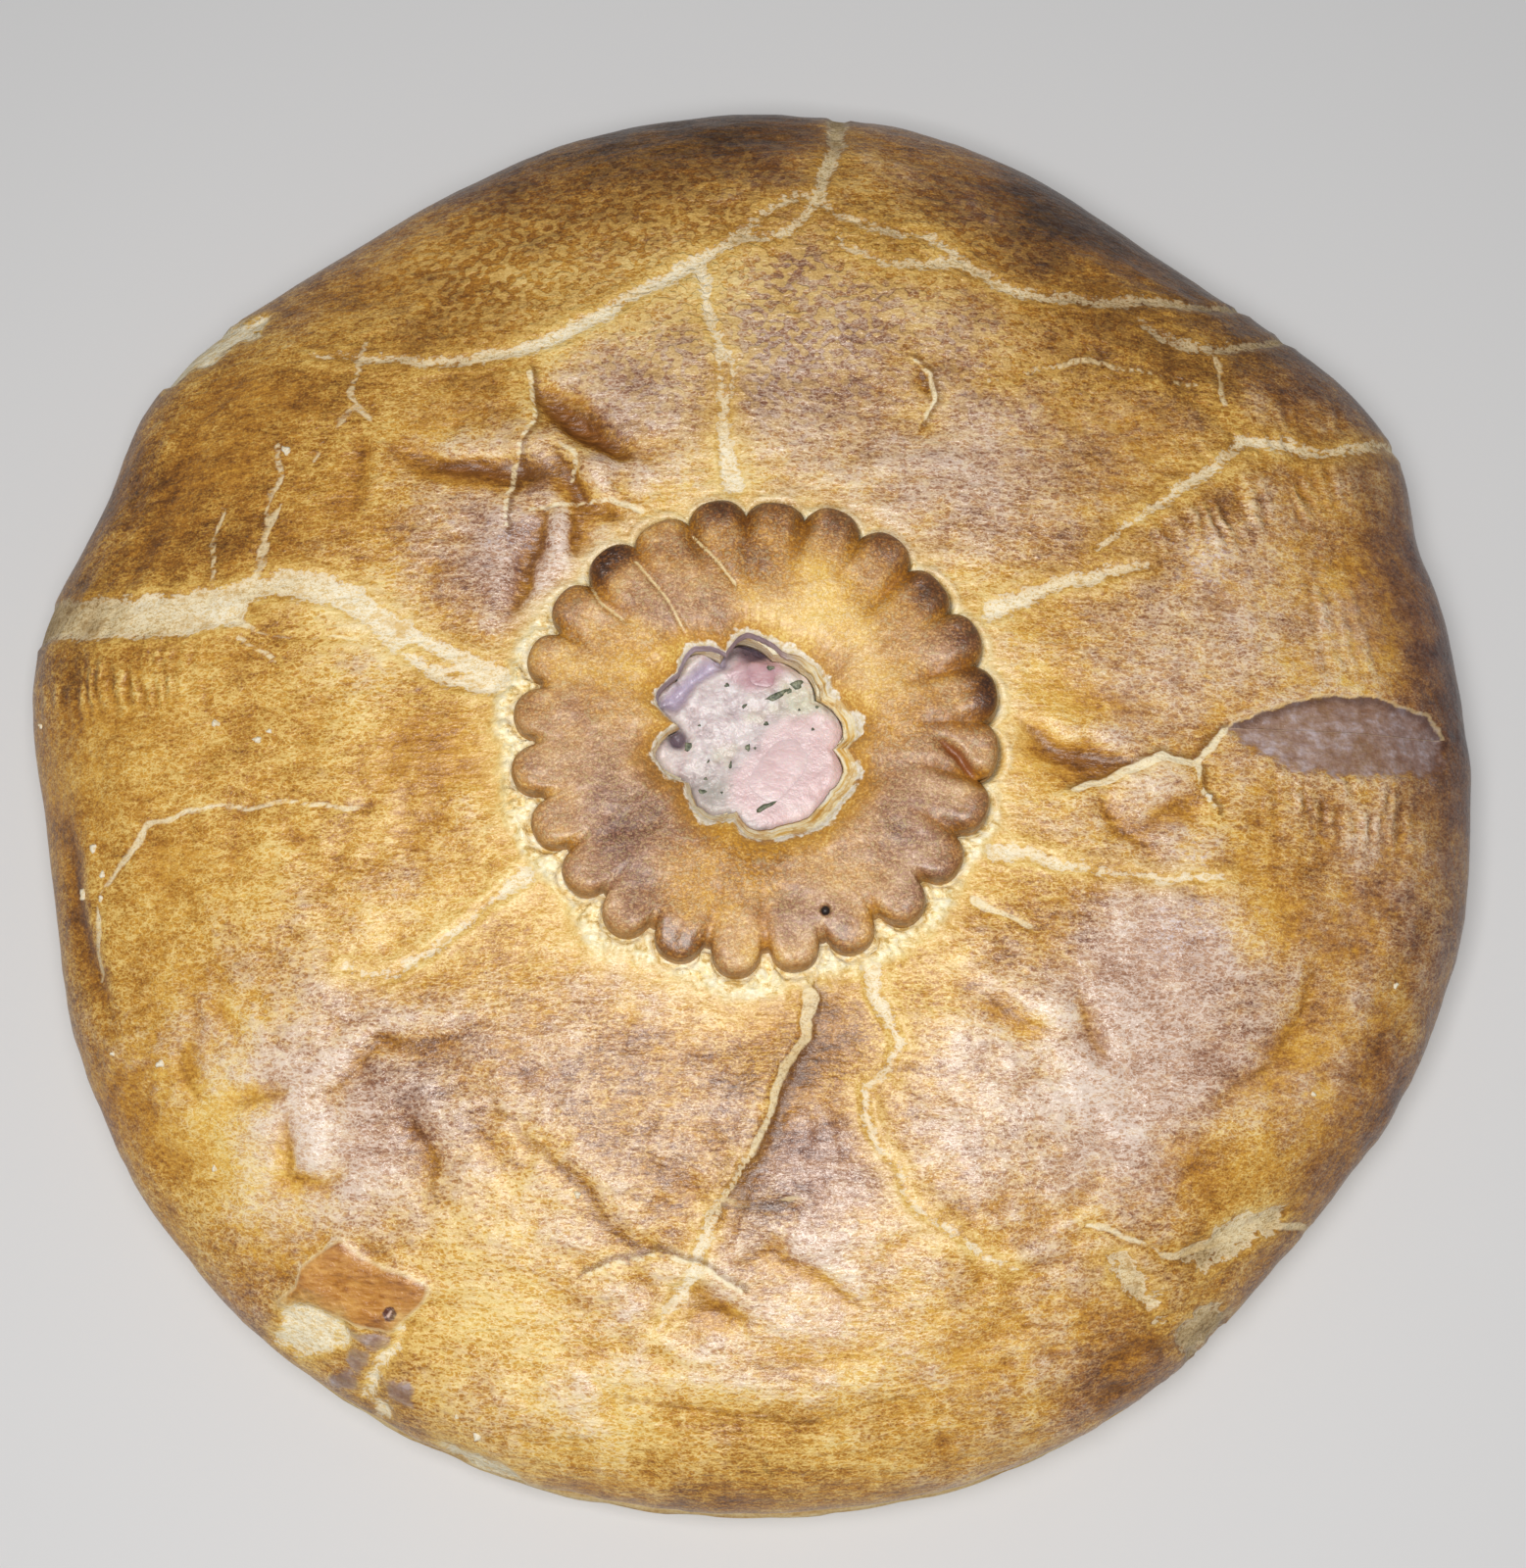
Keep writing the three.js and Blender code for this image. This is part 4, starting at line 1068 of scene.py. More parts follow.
# %% Folds, and peeled or lifted places
def worn_places(f, g, colour):
    """Amber folds, painted dark brown where deep: partly pooled wash, partly painted shade. Also the dark
    right edge, the peeled lens with a painted shadow under its lip, and the lifted flake and its blister.
    """
    crease = f.step(-0.5, 0.4, f.read("crease") + g.mesh.swing * 1.6)
    colour = f.mix(crease * 0.6, colour, f.ramp(g.tone, [(0.3, "B8822A"), (0.5, "986418"), (0.7, "6A3E12")]))
    # Deep folds are painted dark brown: partly wash pooled in them, partly painted shade
    fold = f.step(0.7, 1.9, f.read("fold") + g.streak.swing * 0.5)
    colour = f.mix(fold * 0.7, colour, f.ramp(g.streak, [(0.3, "94581A"), (0.7, "5E340C")]))
    edge_tone = f.ramp(g.tone, [(0.3, "80584A"), (0.9, "3C2422")])
    colour = f.mix(f.read("purple") * (0.8 + g.mottle.swing), colour, edge_tone)
    lens_depth = f.read("lens") + g.mesh.swing * 0.8
    lens = f.step(-0.2, 0.7, lens_depth + g.blotch.swing * 1.2)
    cloud = g.blotch * 0.7 + g.mottle * 0.5 - 0.1 + g.mesh.swing * 0.4
    lilac = f.ramp(cloud, [(0.34, "7E5E52"), (0.52, "9A8078"), (0.72, "BCAEB2")])
    colour = f.mix(lens * 0.85, colour, lilac)
    lens_lip = f.read("lens_lip") + g.mesh.swing * 0.8
    # A painted shadow in a band just inside the lens's sharp far edge, under its lip
    lens_lip_shadow = f.step(0.1, 0.5, lens_lip) * (1 - f.step(0.8, 2.4, lens_lip))
    colour = f.mix(lens_lip_shadow * 0.6, colour, paint("4C2E26"))
    flap_depth = f.read("flap")
    flap = f.step(-0.15, 0.25, flap_depth)
    sheet = f.ramp(g.streak + g.mottle.swing * 1.2, [(0.2, "D89C4C"), (0.5, "BA782C"), (0.8, "84491A")])
    colour = f.mix(flap * 0.9, colour, sheet)
    blister = f.read("blister")
    colour = f.mix(1 - f.step(1.1, 1.5, blister), colour, paint("5E3426"))
    colour = f.mix(1 - f.step(0.5, 0.8, blister), colour, paint("E2C0AC"))
    rims = f.larger(1 - f.step(0.1, 0.5, abs(flap_depth - 0.1)), (1 - f.step(0.1, 0.5, abs(lens_lip))) * 0.8)
    colour = f.mix(rims * 0.45, colour, paint("F2DAA6"))
    return colour, lens


# %% Bare dough
def bare_dough(f, g, colour, light):
    """Golden crust beside bare dough, clots round the collar, painted shade where the collar meets the lid,
    pale seams and torn places, a painted shadow below flake edges, and thin cracks.
    """
    ragged = g.mesh.swing * 2.6 + g.fine.swing * 0.8 + g.mottle.swing * 2.0
    moat_depth = f.read("moat") + g.mottle.swing * 5 + ragged
    moat = f.step(-1.5, 1.5, moat_depth)
    pale_depth = f.read("pale") - 0.6 + g.mesh.swing * 3.4 + g.fine.swing * 1.2 + g.blotch.swing * 2.6
    glow = f.larger(f.step(-4.5, 0.5, pale_depth + g.mottle.swing * 4), f.step(-5.5, 0.0, moat_depth))
    golden = f.ramp(g.tone, [(0.3, "FCE6A4"), (0.5, "ECC264"), (0.68, "C48E36"), (0.9, "7A4E1C")])
    colour = f.mix(glow * 0.5, colour, golden)
    clotted = f.ramp(g.blotch + g.mesh.swing * 0.9, [(0.35, "FFF9DA"), (0.55, "FAE8B0"), (0.7, "D8B468")])
    colour = f.mix(moat * 0.84, colour, clotted)
    specks = f.step(0.62, 0.7, g.fine * 0.6 + g.mesh * 0.4) * moat
    colour = f.mix(specks * 0.5, colour, paint("8A7650"))
    # Painted shade in the crevice where the collar's edge meets the lid
    gap = (1 - f.step(0.0, 0.9, f.read("gap"))) * 0.7
    colour = f.mix(gap, colour, paint("5A4526"))
    pale = f.step(-0.9, 0.6, pale_depth)
    net = f.larger(f.step(0.5, 0.62, g.mesh * 0.6 + g.fine * 0.4), 1 - f.step(0.0, 0.03, g.weave))
    age = g.brown + g.mottle.swing * 0.4
    dough = f.mix(net * 0.8, f.ramp(age, [(0.55, "FFF8DE"), (0.72, "F8E8BC"), (0.88, "CEB484")]),
                  f.ramp(age, [(0.55, "E8C884"), (0.72, "C6A05C"), (0.88, "8A6C3C")]))
    ochre = f.ramp(age, [(0.5, "E6BE70"), (0.72, "C4984E"), (0.88, "8A662E")])
    dough = f.mix(f.step(0.52, 0.68, g.mottle * 0.4 + g.blotch * 0.6) * 0.8, dough, ochre)
    colour = f.mix(pale * 0.84, colour, dough)
    lip = 1 - f.step(0.1, 0.6, abs(pale_depth))
    colour = f.mix(lip * 0.42, colour, f.ramp(age, [(0.5, "FFFAE4"), (0.7, "FAEAC4"), (0.88, "D8C29A")]))
    edge, side = f.read("edge") + ragged * 0.2, f.read("edge_side")
    shade = f.step(-1.6, -0.3, edge) * (1 - f.step(-0.5, 0.0, side))
    colour = f.mix(shade * 0.6, colour, paint("6A4014"))
    line = f.larger(f.step(-0.25, 0.2, f.read("crack") + ragged * 0.3), f.step(-0.15, 0.2, edge))
    thread = f.mix(net * 0.5, f.ramp(age, [(0.5, "FFF6D4"), (0.85, "E6CA92")]), light)
    colour = f.mix(line * 0.8, colour, thread)
    return colour, f.larger(pale, line)


# %% Crust finish
def crust_finish(name):
    """The glaze, what is worn or bare in it, and a bump from the coarser grains."""
    f = Finish(name)
    g = crust_grains(f)
    colour, light, dusty = glaze(f, g)
    colour, lens = worn_places(f, g, colour)
    colour, matt = bare_dough(f, g, colour, light)
    height = g.streak * 0.14 + g.mesh * 0.28 + g.mottle * 0.5 + g.ripple * 0.5 + g.wave * 0.3 + g.dots * 0.15
    return f.close(
        Base_Color=colour,
        Roughness=0.42 + matt * 0.3 - dusty * 0.1 + g.fine.swing * 0.3,
        Coat_Weight=(1 - matt) * 0.16 + lens * 0.2,
        Coat_Roughness=0.28,
        Normal=f.bump(height),
    )


lid.data.materials.append(crust_finish("glazed_crust"))

# %% [markdown]
# ## The collar
#
# A ring of pastry was cut with a fluted cutter and laid round the vent. Its fluted ends puffed up and
# browned, with grooves running in between them, and shallow valleys lead from the grooves to the vent.
# The section is a closed curve carried round the vent: up the inner edge, across the top, down the
# fluted ends and back below. A cutter's outline could be extruded, but its ends would stay square.

# %% Collar surface
COLLAR_COLUMNS = FLUTES * 36
# Across the top: share of the way from the vent to a flute's end, and share of the thickness
COLLAR_TOP = [(0, 0.45), (0.02, 0.56), (0.06, 0.68), (0.12, 0.80), (0.2, 0.88), (0.4, 0.92), (0.7, 0.95),
              (0.9, 0.95), (0.955, 0.9), (0.985, 0.76), (1.0, 0.5)]
COLLAR_TOP_ROWS, COLLAR_SIDE_ROWS, COLLAR_UNDER_ROWS, COLLAR_INNER_ROWS = 64, 6, 4, 8
PRICK = (12.5, -33.5, 0.9, 1.8)  # a skewer's hole in the collar: x, y, radius, depth
GASH = [(32.1, -1.0), (36.5, -4.6), (40.9, -10.3)]  # a slit between two flutes
COLLAR_CRACKS = [
    [(-11.6, 36.8), (-6.7, 31.4), (-3.9, 27.6)],
    [(-22.2, 31.8), (-18.1, 26.8), (-16.1, 24.3), (-13.3, 19.0)],
    [(-31.2, 28.9), (-28.6, 23.9), (-24.3, 20.7)],
]
# Flutes that browned most: direction and amount
BURNT_FLUTES = [(126, 1.0), (96, 0.6), (80, 0.4), (65, 0.5), (50, 0.6), (34, 0.7), (18, 0.6), (3, 0.9),
                (347, 0.5), (318, 0.4), (243, 0.5), (150, 0.4)]
flute_rng = np.random.default_rng(5)
flute_puff = flute_rng.uniform(0.0, 0.35, FLUTES)
flute_reach = flute_rng.uniform(-0.9, 0.5, FLUTES)
groove_start = flute_rng.uniform(0.35, 0.7, FLUTES)
groove_depth = flute_rng.uniform(0.4, 1.5, FLUTES)
flute_burn = flute_rng.uniform(0.0, 0.25, FLUTES)
valley_depth = flute_rng.uniform(-0.3, 1.0, FLUTES)
for direction, amount in BURNT_FLUTES:
    flute_burn[round((direction - FLUTE_START) / (360 / FLUTES)) % FLUTES] = amount


def collar_grid():
    """Rows round the section as a share of the way out and a share of the thickness."""
    knots = np.array(COLLAR_TOP).T
    width = COLLAR_RADIUS - VENT_RADIUS
    share, rise = even_steps(knots[0] * width, knots[1] * COLLAR_THICKNESS, COLLAR_TOP_ROWS)
    share, rise = share / width, rise / COLLAR_THICKNESS
    side = np.linspace(rise[-1], 0, COLLAR_SIDE_ROWS + 1)[1:]
    under = np.linspace(1, 0, COLLAR_UNDER_ROWS + 1)[1:]
    inner = np.linspace(0, rise[0], COLLAR_INNER_ROWS, endpoint=False)[1:]
    shares = np.concatenate([share, np.ones(len(side)), under, np.zeros(len(inner))])
    rises = np.concatenate([rise, side, np.zeros(len(under)), inner])
    return shares[:, None], rises[:, None]


collar_turn = np.linspace(0, 2 * np.pi, COLLAR_COLUMNS, endpoint=False)[None, :]
flute = (np.degrees(collar_turn) - FLUTE_START) / (360 / FLUTES)
flute_number = np.round(flute).astype(int) % FLUTES
groove_number = np.floor(flute).astype(int) % FLUTES
notch = 2 * np.abs(flute - np.round(flute))  # 0 at the middle of a flute, 1 between two
share, rise = collar_grid()
on_top = (np.arange(len(share)) < COLLAR_TOP_ROWS)[:, None]

jagged = 0.5 * layered_noise(np.cos(collar_turn) * 6, np.sin(collar_turn) * 6, 81, 4)
inner_edge = vent_radius(collar_turn) + jagged
outer_edge = collar_edge(collar_turn) + flute_reach[flute_number] * (1 - notch**2)
toward = LEDGE_SHIFT[0] * np.cos(collar_turn) + LEDGE_SHIFT[1] * np.sin(collar_turn)
slope_in = np.maximum(LEDGE + 0.5 - toward, 0.4)  # the cut slopes in to the edge of the lid's own hole
inner_foot = inner_edge - slope_in * (1 - np.clip(rise / COLLAR_TOP[0][1], 0, 1)) * (share < 0.001)
collar_r = inner_foot + share * (outer_edge - inner_edge)
collar_x, collar_y = collar_r * np.cos(collar_turn), collar_r * np.sin(collar_turn)
print("collar grid", collar_r.shape)

# %% Collar relief
# Broad tones of the collar: direction, distance, spread, amount
COLLAR_BROWN = [
    (210, 26, 10, 0.24), (232, 34, 9, 0.12), (262, 36, 8, 0.08), (285, 35, 8, 0.10), (92, 36, 8, 0.26),
    (120, 32, 10, 0.12), (0, 37, 8, 0.10), (30, 37, 8, 0.10), (60, 38, 6, 0.10), (330, 31, 10, 0.16),
    (270, 25, 6, 0.10), (62, 24, 8, -0.24), (300, 36, 8, -0.04), (30, 22, 6, -0.12), (150, 26, 7, -0.08),
    (90, 24, 6, -0.14), (180, 22, 6, -0.08), (268, 40, 6, -0.08),
]
# Where the collar is mauve, partly its own dusty colour and partly painted sheen: direction, distance,
# spread, amount
COLLAR_MAUVE = [
    (208, 28, 9, 0.9), (228, 36, 8, 0.6), (285, 36, 8, 0.7), (335, 31, 9, 0.7), (318, 39, 6, 0.8),
    (122, 28, 7, 0.5), (185, 38, 6, 0.3), (350, 39, 6, 0.3), (25, 39, 7, 0.2), (60, 27, 9, -0.5),
    (270, 24, 7, -0.7), (0, 26, 8, -0.4), (92, 33, 7, -0.3), (150, 24, 8, -0.5), (250, 30, 8, -0.3),
]
fingers = finger_side(collar_turn)
puff = flute_puff[flute_number] * np.exp(-(((share - 0.84) / 0.13) ** 2))
puff = puff * (1 - notch**1.6) * (1 - 0.5 * fingers)
groove = groove_depth[groove_number] * smooth(0.4, 1.0, notch) * (1 - 0.4 * fingers)
groove = groove * smooth(groove_start[groove_number] + 0.25 * fingers, 1.0, share)
undulate = 0.7 * layered_noise(collar_x / 11, collar_y / 11, 91, 4)
valley = np.clip(valley_depth, 0, 1)[groove_number] * smooth(0.35, 1.0, notch) * smooth(0.3, 0.75, share)
gash_away, gash_along, _ = nearest(collar_x, collar_y, GASH)
gash = np.exp(-((gash_away / 1.1) ** 2)) * np.sin(np.pi * np.clip(gash_along, 0.02, 0.98))
prick = np.exp(-((((collar_x - PRICK[0]) ** 2 + (collar_y - PRICK[1]) ** 2) / PRICK[2] ** 2) ** 2))
hair = np.min([nearest(collar_x, collar_y, stops)[0] for stops in COLLAR_CRACKS], axis=0)
collar_relief = (puff - groove + undulate - 0.6 * valley) * on_top * np.minimum(1, rise / 0.9)
collar_relief -= (1.5 * gash + PRICK[3] * prick + 0.3 * np.exp(-((hair / 0.6) ** 2))) * on_top
collar_z = dome_height(collar_r) + GAP + np.maximum(rise * COLLAR_THICKNESS + collar_relief, 0)
collar_raised = collar_relief - blurred(collar_relief, 8)
burn = flute_burn[flute_number] * smooth(0.7, 0.9, share) * (1 - notch**3)
collar_brown = 0.46 + zones(COLLAR_BROWN, collar_x, collar_y)
collar_brown = collar_brown + 0.1 * layered_noise(collar_x / 9, collar_y / 9, 95, 3)
# Raised places are painted more mauve and paler brown: partly their own colour, partly painted sheen
collar_mauve = zones(COLLAR_MAUVE, collar_x, collar_y) + 0.3 * collar_raised - 0.4 * groove
collar = ring_piece("pastry_collar", np.stack([collar_x, collar_y, collar_z], -1), {
    "to_edge": np.where(on_top, outer_edge - collar_r, 0),
    "from_vent": np.where(on_top, share * (outer_edge - inner_edge), 0),
    "brown": collar_brown + 0.5 * burn * on_top - 0.2 * np.clip(collar_raised, -1, 1) * on_top,
    "mauve": np.clip(collar_mauve, -1, 1),
    "burn": burn * on_top,
    "groove": np.clip(groove * on_top, 0, 2),
    "valley": np.clip(valley * on_top, 0, 1),
    "inner_wall": np.broadcast_to(np.where(on_top | (share > 0.5), 0.0, 1.0), collar_r.shape),
    "lilac": np.broadcast_to(smooth(0.4, 0.8, np.cos(collar_turn - math.radians(118))), collar_r.shape),
    "hair": np.clip(0.4 - hair, -3, 3),
    "gash": np.clip(gash, 0, 1),
    "prick": np.clip(prick, 0, 1),
})
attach(collar, "root")
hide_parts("collar")

# %% Collar finish
def collar_finish():
    """Finer and smoother than the lid: gold speckle, amber at the vent and in the grooves, brown ends, mauve
    that is partly painted sheen, the skewer's hole painted nearly black as shade, and the inner wall on the
    far left painted lilac grey as shade.
    """
    f = Finish("collar_crust")
    speckle = f.grain(0.9, 0.8, 0.8, 3.0, 0.6)
    fine = f.grain(0.55, 0.5, 0.5, 2.0, 0.6)
    mottle = f.grain(9, 9, 9, 4.0, 0.55)
    blotch = f.grain(4, 4, 4, 2.0, 0.5)
    lines = abs(f.grain(2.4, 2.0, 2.0, 4.0, 0.65) - 0.5)
    brown, mauve, burn, groove = (f.read(key) for key in ("brown", "mauve", "burn", "groove"))
    tone = brown + speckle.swing * 0.5 + mottle.swing * 0.6 + fine.swing * 0.9
    dusty = f.step(-0.6, 0.9, mauve + mottle.swing * 1.2 + speckle.swing * 0.8)
    colour = f.mix(dusty * 0.85, f.ramp(tone, AMBER_STOPS), f.ramp(tone, DUSTY_SHEEN_STOPS))
    crackle = f.larger(f.step(0.54, 0.6, speckle * 0.5 + fine * 0.5), (1 - f.step(0.0, 0.03, lines)) * 0.6)
    gold = f.ramp(tone, [(0.2, "FFF0C4"), (0.5, "F0D496"), (1.0, "A27C4C")])
    colour = f.mix(crackle * (1 - burn) * 0.7, colour, gold)
    from_vent = f.read("from_vent")
    ring = 1 - f.step(1.0, 6.0, from_vent + mottle.swing * 8)
    amber = f.ramp(tone, [(0.2, "F0CC70"), (0.45, "CE922E"), (0.95, "6E3C12")])
    colour = f.mix(f.larger(ring * 0.75, f.step(0.3, 1.2, groove) * 0.6), colour, amber)
    valley = f.step(0.1, 0.9, f.read("valley") + mottle.swing * 0.6)
    colour = f.mix(valley * 0.65, colour, f.ramp(tone, [(0.2, "E0A846"), (0.5, "B4741E"), (0.9, "6E3C12")]))
    to_edge = f.read("to_edge") + speckle.swing * 1.0
    skirt = 1 - f.step(0.1, 0.9, to_edge)
    colour = f.mix(skirt * 0.65, colour, f.ramp(tone, [(0.35, "B4782C"), (0.7, "6E3C14")]))
    colour = f.mix(f.step(0.0, 0.35, f.read("hair") + fine.swing) * 0.85, colour, paint("EBD29A"))
    colour = f.mix(f.step(0.25, 0.7, f.read("gash")) * 0.9, colour, paint("8A4A17"))
    # Painted shade: the skewer's hole is painted nearly black
    colour = f.mix(f.step(0.3, 0.7, f.read("prick")), colour, paint("2E2420"))
    lip = 1 - f.step(0.2, 0.8, from_vent + speckle.swing * 1.4 + blotch.swing * 5)
    lip = lip * f.step(3.0, 6.0, to_edge)
    layers = f.grain(7, 7, 0.7, 3.0, 0.6)
    wall = f.ramp(layers + mottle.swing * 0.4, [(0.3, "FFFAEC"), (0.5, "FDEEBE"), (0.66, "E4B454")])
    drops = f.step(0.5, 0.6, blotch * 0.7 + speckle * 0.3)
    wall = f.mix(drops * 0.7, wall, f.ramp(layers, [(0.35, "E8BC58"), (0.65, "B87A20")]))
    # Painted shade: on the far left the inner wall is painted lilac grey
    shaded = f.ramp(layers + mottle.swing, [(0.3, "C0AEC4"), (0.65, "8C7680")])
    wall = f.mix(f.read("lilac") * 0.9, wall, shaded)
    colour = f.mix(f.read("inner_wall"), colour, wall)
    colour = f.mix(lip * 0.9, colour, f.ramp(speckle, [(0.4, "FFFAEC"), (0.65, "EAD8A8")]))
    return f.close(
        Base_Color=colour,
        Roughness=0.44 + lip * 0.2 - burn * 0.14 + fine.swing * 0.25,
        Coat_Weight=(1 - lip) * 0.14 + burn * 0.3,
        Coat_Roughness=0.22,
        Normal=f.bump(speckle * 0.2 + fine * 0.08 + mottle * 0.4),
    )


collar.data.materials.append(collar_finish())

# %% [markdown]
# ## The filling
#
# Pale minced pork fills the whole crust, and the vent shows a disc of it: lumpy, wet, flecked with
# herbs, lilac grey where jelly has drawn away from the wall, partly painted shade, and with painted shade
# in the dips. Only that disc needs a fine grid, so
# the rows run from the middle of the underside round to the vent and crowd together there.

# %% Filling surface
FILLING_COLUMNS = 360
VENT_ROWS = 56
filling_reach = filling_high[0]
under_lid = LID_TOP - CRUST
MINCE_LEVEL = under_lid + 3.6
FILLING_CLEAR = 0.5  # between the filling and the wall of the lid's hole
JELLY = [(104, 21), (108, 14.5), (120, 14.8), (135, 15.2), (150, 14.6), (160, 15.5), (162, 21)]
HOLLOWS = [(-14.6, 0.6, 2.2, 2.6), (-0.6, 18.4, 3.4, 3.0), (8.0, 15.8, 2.4, 1.8), (-5.0, 16.8, 1.6, 1.0)]
CHUNK_POWER = 0.6
CHUNKS = {
    "meat_chunk_large": {"middle": (4.2, -5.6, -0.8), "half": (11.2, 6.8, 5.0), "turn": 52, "seed": 111},
    "meat_chunk_small": {"middle": (1.2, 12.2, 1.0), "half": (4.2, 3.2, 3.0), "turn": -10, "seed": 121},
}


def chunk_cover(x, y, middle, half, turn):
    """How far inside a chunk's outline a point lies, as 1 minus its share of the way to the edge."""
    a = math.radians(turn)
    along = (x - middle[0]) * math.cos(a) + (y - middle[1]) * math.sin(a)
    across = (y - middle[1]) * math.cos(a) - (x - middle[0]) * math.sin(a)
    power = 2 / CHUNK_POWER
    return 1 - (np.abs(along / half[0]) ** power + np.abs(across / half[1]) ** power) ** (1 / power)


# Where the meat is pink and where red, past the chunks themselves: corners by direction and distance
PINK = [(237, 8.4), (255, 3.0), (40, 3.4), (36, 7.6), (24, 12.0), (10, 17), (345, 20), (315, 21), (290, 20),
        (272, 15.5), (248, 12.0)]
RED = [(100, 10.0), (112, 13.5), (98, 17), (82, 17.5), (70, 14.5), (72, 10.5)]


def hollow_depth(x, y):
    """Dips where the mince shrank from the wall: bell curves round their middles."""
    return sum(
        depth * np.exp(-((x - at_x) ** 2 + (y - at_y) ** 2) / reach**2)
        for at_x, at_y, reach, depth in HOLLOWS
    )


def mince_height(x, y):
    """Lumps, dips, a hollow for the jelly, and a level close to the tops of the two chunks round them."""
    height = 0.8 * layered_noise(x / 5, y / 5, 101, 4)
    for chunk in CHUNKS.values():
        cover = chunk_cover(x, y, chunk["middle"], chunk["half"], chunk["turn"])
        height = height + (0.4 - height) * smooth(-0.3, 0.25, cover) - 1.3 * smooth(0.45, 0.6, cover)
    return height - 2.2 * smooth(-0.5, 2.0, patch_depth(x, y, JELLY)) - hollow_depth(x, y)


def filling_rows():
    """From the middle of the underside out, up the wall, over to the vent and in to the middle of the top.

    Each row is a distance, a height and, in the vent, the share of the way to the wall of the lid's hole.
    """
    floor = [(0, filling_low[2], 0), (60, filling_low[2], 0), (filling_reach, filling_low[2], 0)]
    outside = np.array([0.999, 0.93, 0.8, 0.6, 0.4, 0.25]) * filling_reach
    over = [(d, dome_height(d, under_lid - 2 * GAP, filling_reach), 0) for d in outside]
    foot = [(0, under_lid - 2 * GAP, 1)]
    return np.array(floor + over + foot + [(0, MINCE_LEVEL, s) for s in np.linspace(1, 0, VENT_ROWS)]).T


fill_turn = np.linspace(0, 2 * np.pi, FILLING_COLUMNS, endpoint=False)[None, :]
fill_row, fill_level, fill_share = (part[:, None] for part in filling_rows())
vent_row = (np.arange(len(fill_row)) >= len(fill_row) - VENT_ROWS - 1)[:, None]
fill_d = fill_row + fill_share * (vent_radius(fill_turn) - LEDGE - FILLING_CLEAR)
fill_x = fill_d * np.cos(fill_turn) + vent_row * LEDGE_SHIFT[0]
fill_y = fill_d * np.sin(fill_turn) + vent_row * LEDGE_SHIFT[1]
lumps = mince_height(fill_x, fill_y) - 0.8 * smooth(0.9, 1, fill_share)
fill_z = fill_level + np.where(fill_level == MINCE_LEVEL, lumps, 0)
vertices, faces = lump_mesh(np.stack([fill_x, fill_y, fill_z], -1))
green_side = np.exp(-(((fill_x - 9) / 5) ** 2) - ((fill_y - 7) / 4) ** 2)
grey_side = np.exp(-(((fill_x + 8) / 5) ** 2) - ((fill_y + 10) / 5) ** 2)
filling = add_piece("minced_filling", vertices, faces, {
    "jelly": lump_values(np.clip(patch_depth(fill_x, fill_y, JELLY), -6, 6)),
    "hollow": lump_values(hollow_depth(fill_x, fill_y)),
    "pink": lump_values(np.clip(patch_depth(fill_x, fill_y, PINK), -6, 6)),
    "red": lump_values(np.clip(patch_depth(fill_x, fill_y, RED), -6, 6)),
    "green": lump_values(green_side),
    "grey": lump_values(grey_side),
})
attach(filling, "root")
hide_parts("filling")

# %% Filling finish
PINK_STOPS = [(0.3, "D2B4B4"), (0.5, "DFC4C4"), (0.7, "E8D4D2")]
RED_STOPS = [(0.3, "B08088"), (0.5, "C29CA2"), (0.7, "D0B4B8")]


def filling_finish():
    """Greyish pink mince with cream fat and painted highlights, a yellow-green stain of herbs, painted shade
    in the dips, and a lilac jelly side that is partly painted shade.
    """
    f = Finish("minced_meat")
    coarse = f.grain(5, 5, 5, 4.0, 0.6)
    medium = f.grain(1.8, 1.8, 1.8, 3.0, 0.6)
    fine = f.grain(0.6, 0.6, 0.6, 2.0, 0.6)
    stops = [(0.3, "B4A4A4"), (0.44, "D2C2C2"), (0.56, "E0D6D4"), (0.7, "D8C4C2")]
    colour = f.ramp(coarse + medium.swing * 0.6, stops)
    # Painted highlights: near-white flecks on the tops of the lumps
    colour = f.mix(f.step(0.55, 0.66, medium) * 0.5, colour, paint("EAE6E6"))
    colour = f.mix(f.read("green") * (0.3 + medium * 0.6), colour, paint("CDD0AC"))
    colour = f.mix(f.read("grey") * (0.1 + medium), colour, paint("8E8B80"))
    stain = f.step(0.56, 0.68, f.grain(7, 7, 7, 2.0, 0.5))
    colour = f.mix(stain * 0.3, colour, paint("D6CFA6"))
    soft = medium.swing * 1.5 + coarse.swing * 4
    colour = f.mix(f.step(-1.5, 1.2, f.read("pink") + soft), colour, f.ramp(coarse, PINK_STOPS))
    colour = f.mix(f.step(-1.5, 1.0, f.read("red") + soft), colour, f.ramp(coarse, RED_STOPS))
    # The jelly side is painted lilac grey: partly the jelly's own colour, partly painted shade
    jelly = f.step(-0.6, 1.4, f.read("jelly") + medium.swing * 1.5)
    colour = f.mix(jelly * 0.85, colour, f.ramp(coarse, [(0.35, "A494AE"), (0.65, "C6BACE")]))
    # Painted shade: the dips where the mince shrank from the wall are painted dark mauve
    colour = f.mix(f.step(0.5, 2.0, f.read("hollow")) * 0.9, colour, paint("5E4A58"))
    return f.close(
        Base_Color=colour,
        Roughness=0.36 + medium.swing * 0.4,
        Coat_Weight=jelly * 0.4,
        Coat_Roughness=0.15,
        Subsurface_Weight=0.1,
        Subsurface_Scale=0.004,
        Normal=f.bump(medium * 0.4 + fine * 0.12),
    )


filling.data.materials.append(filling_finish())

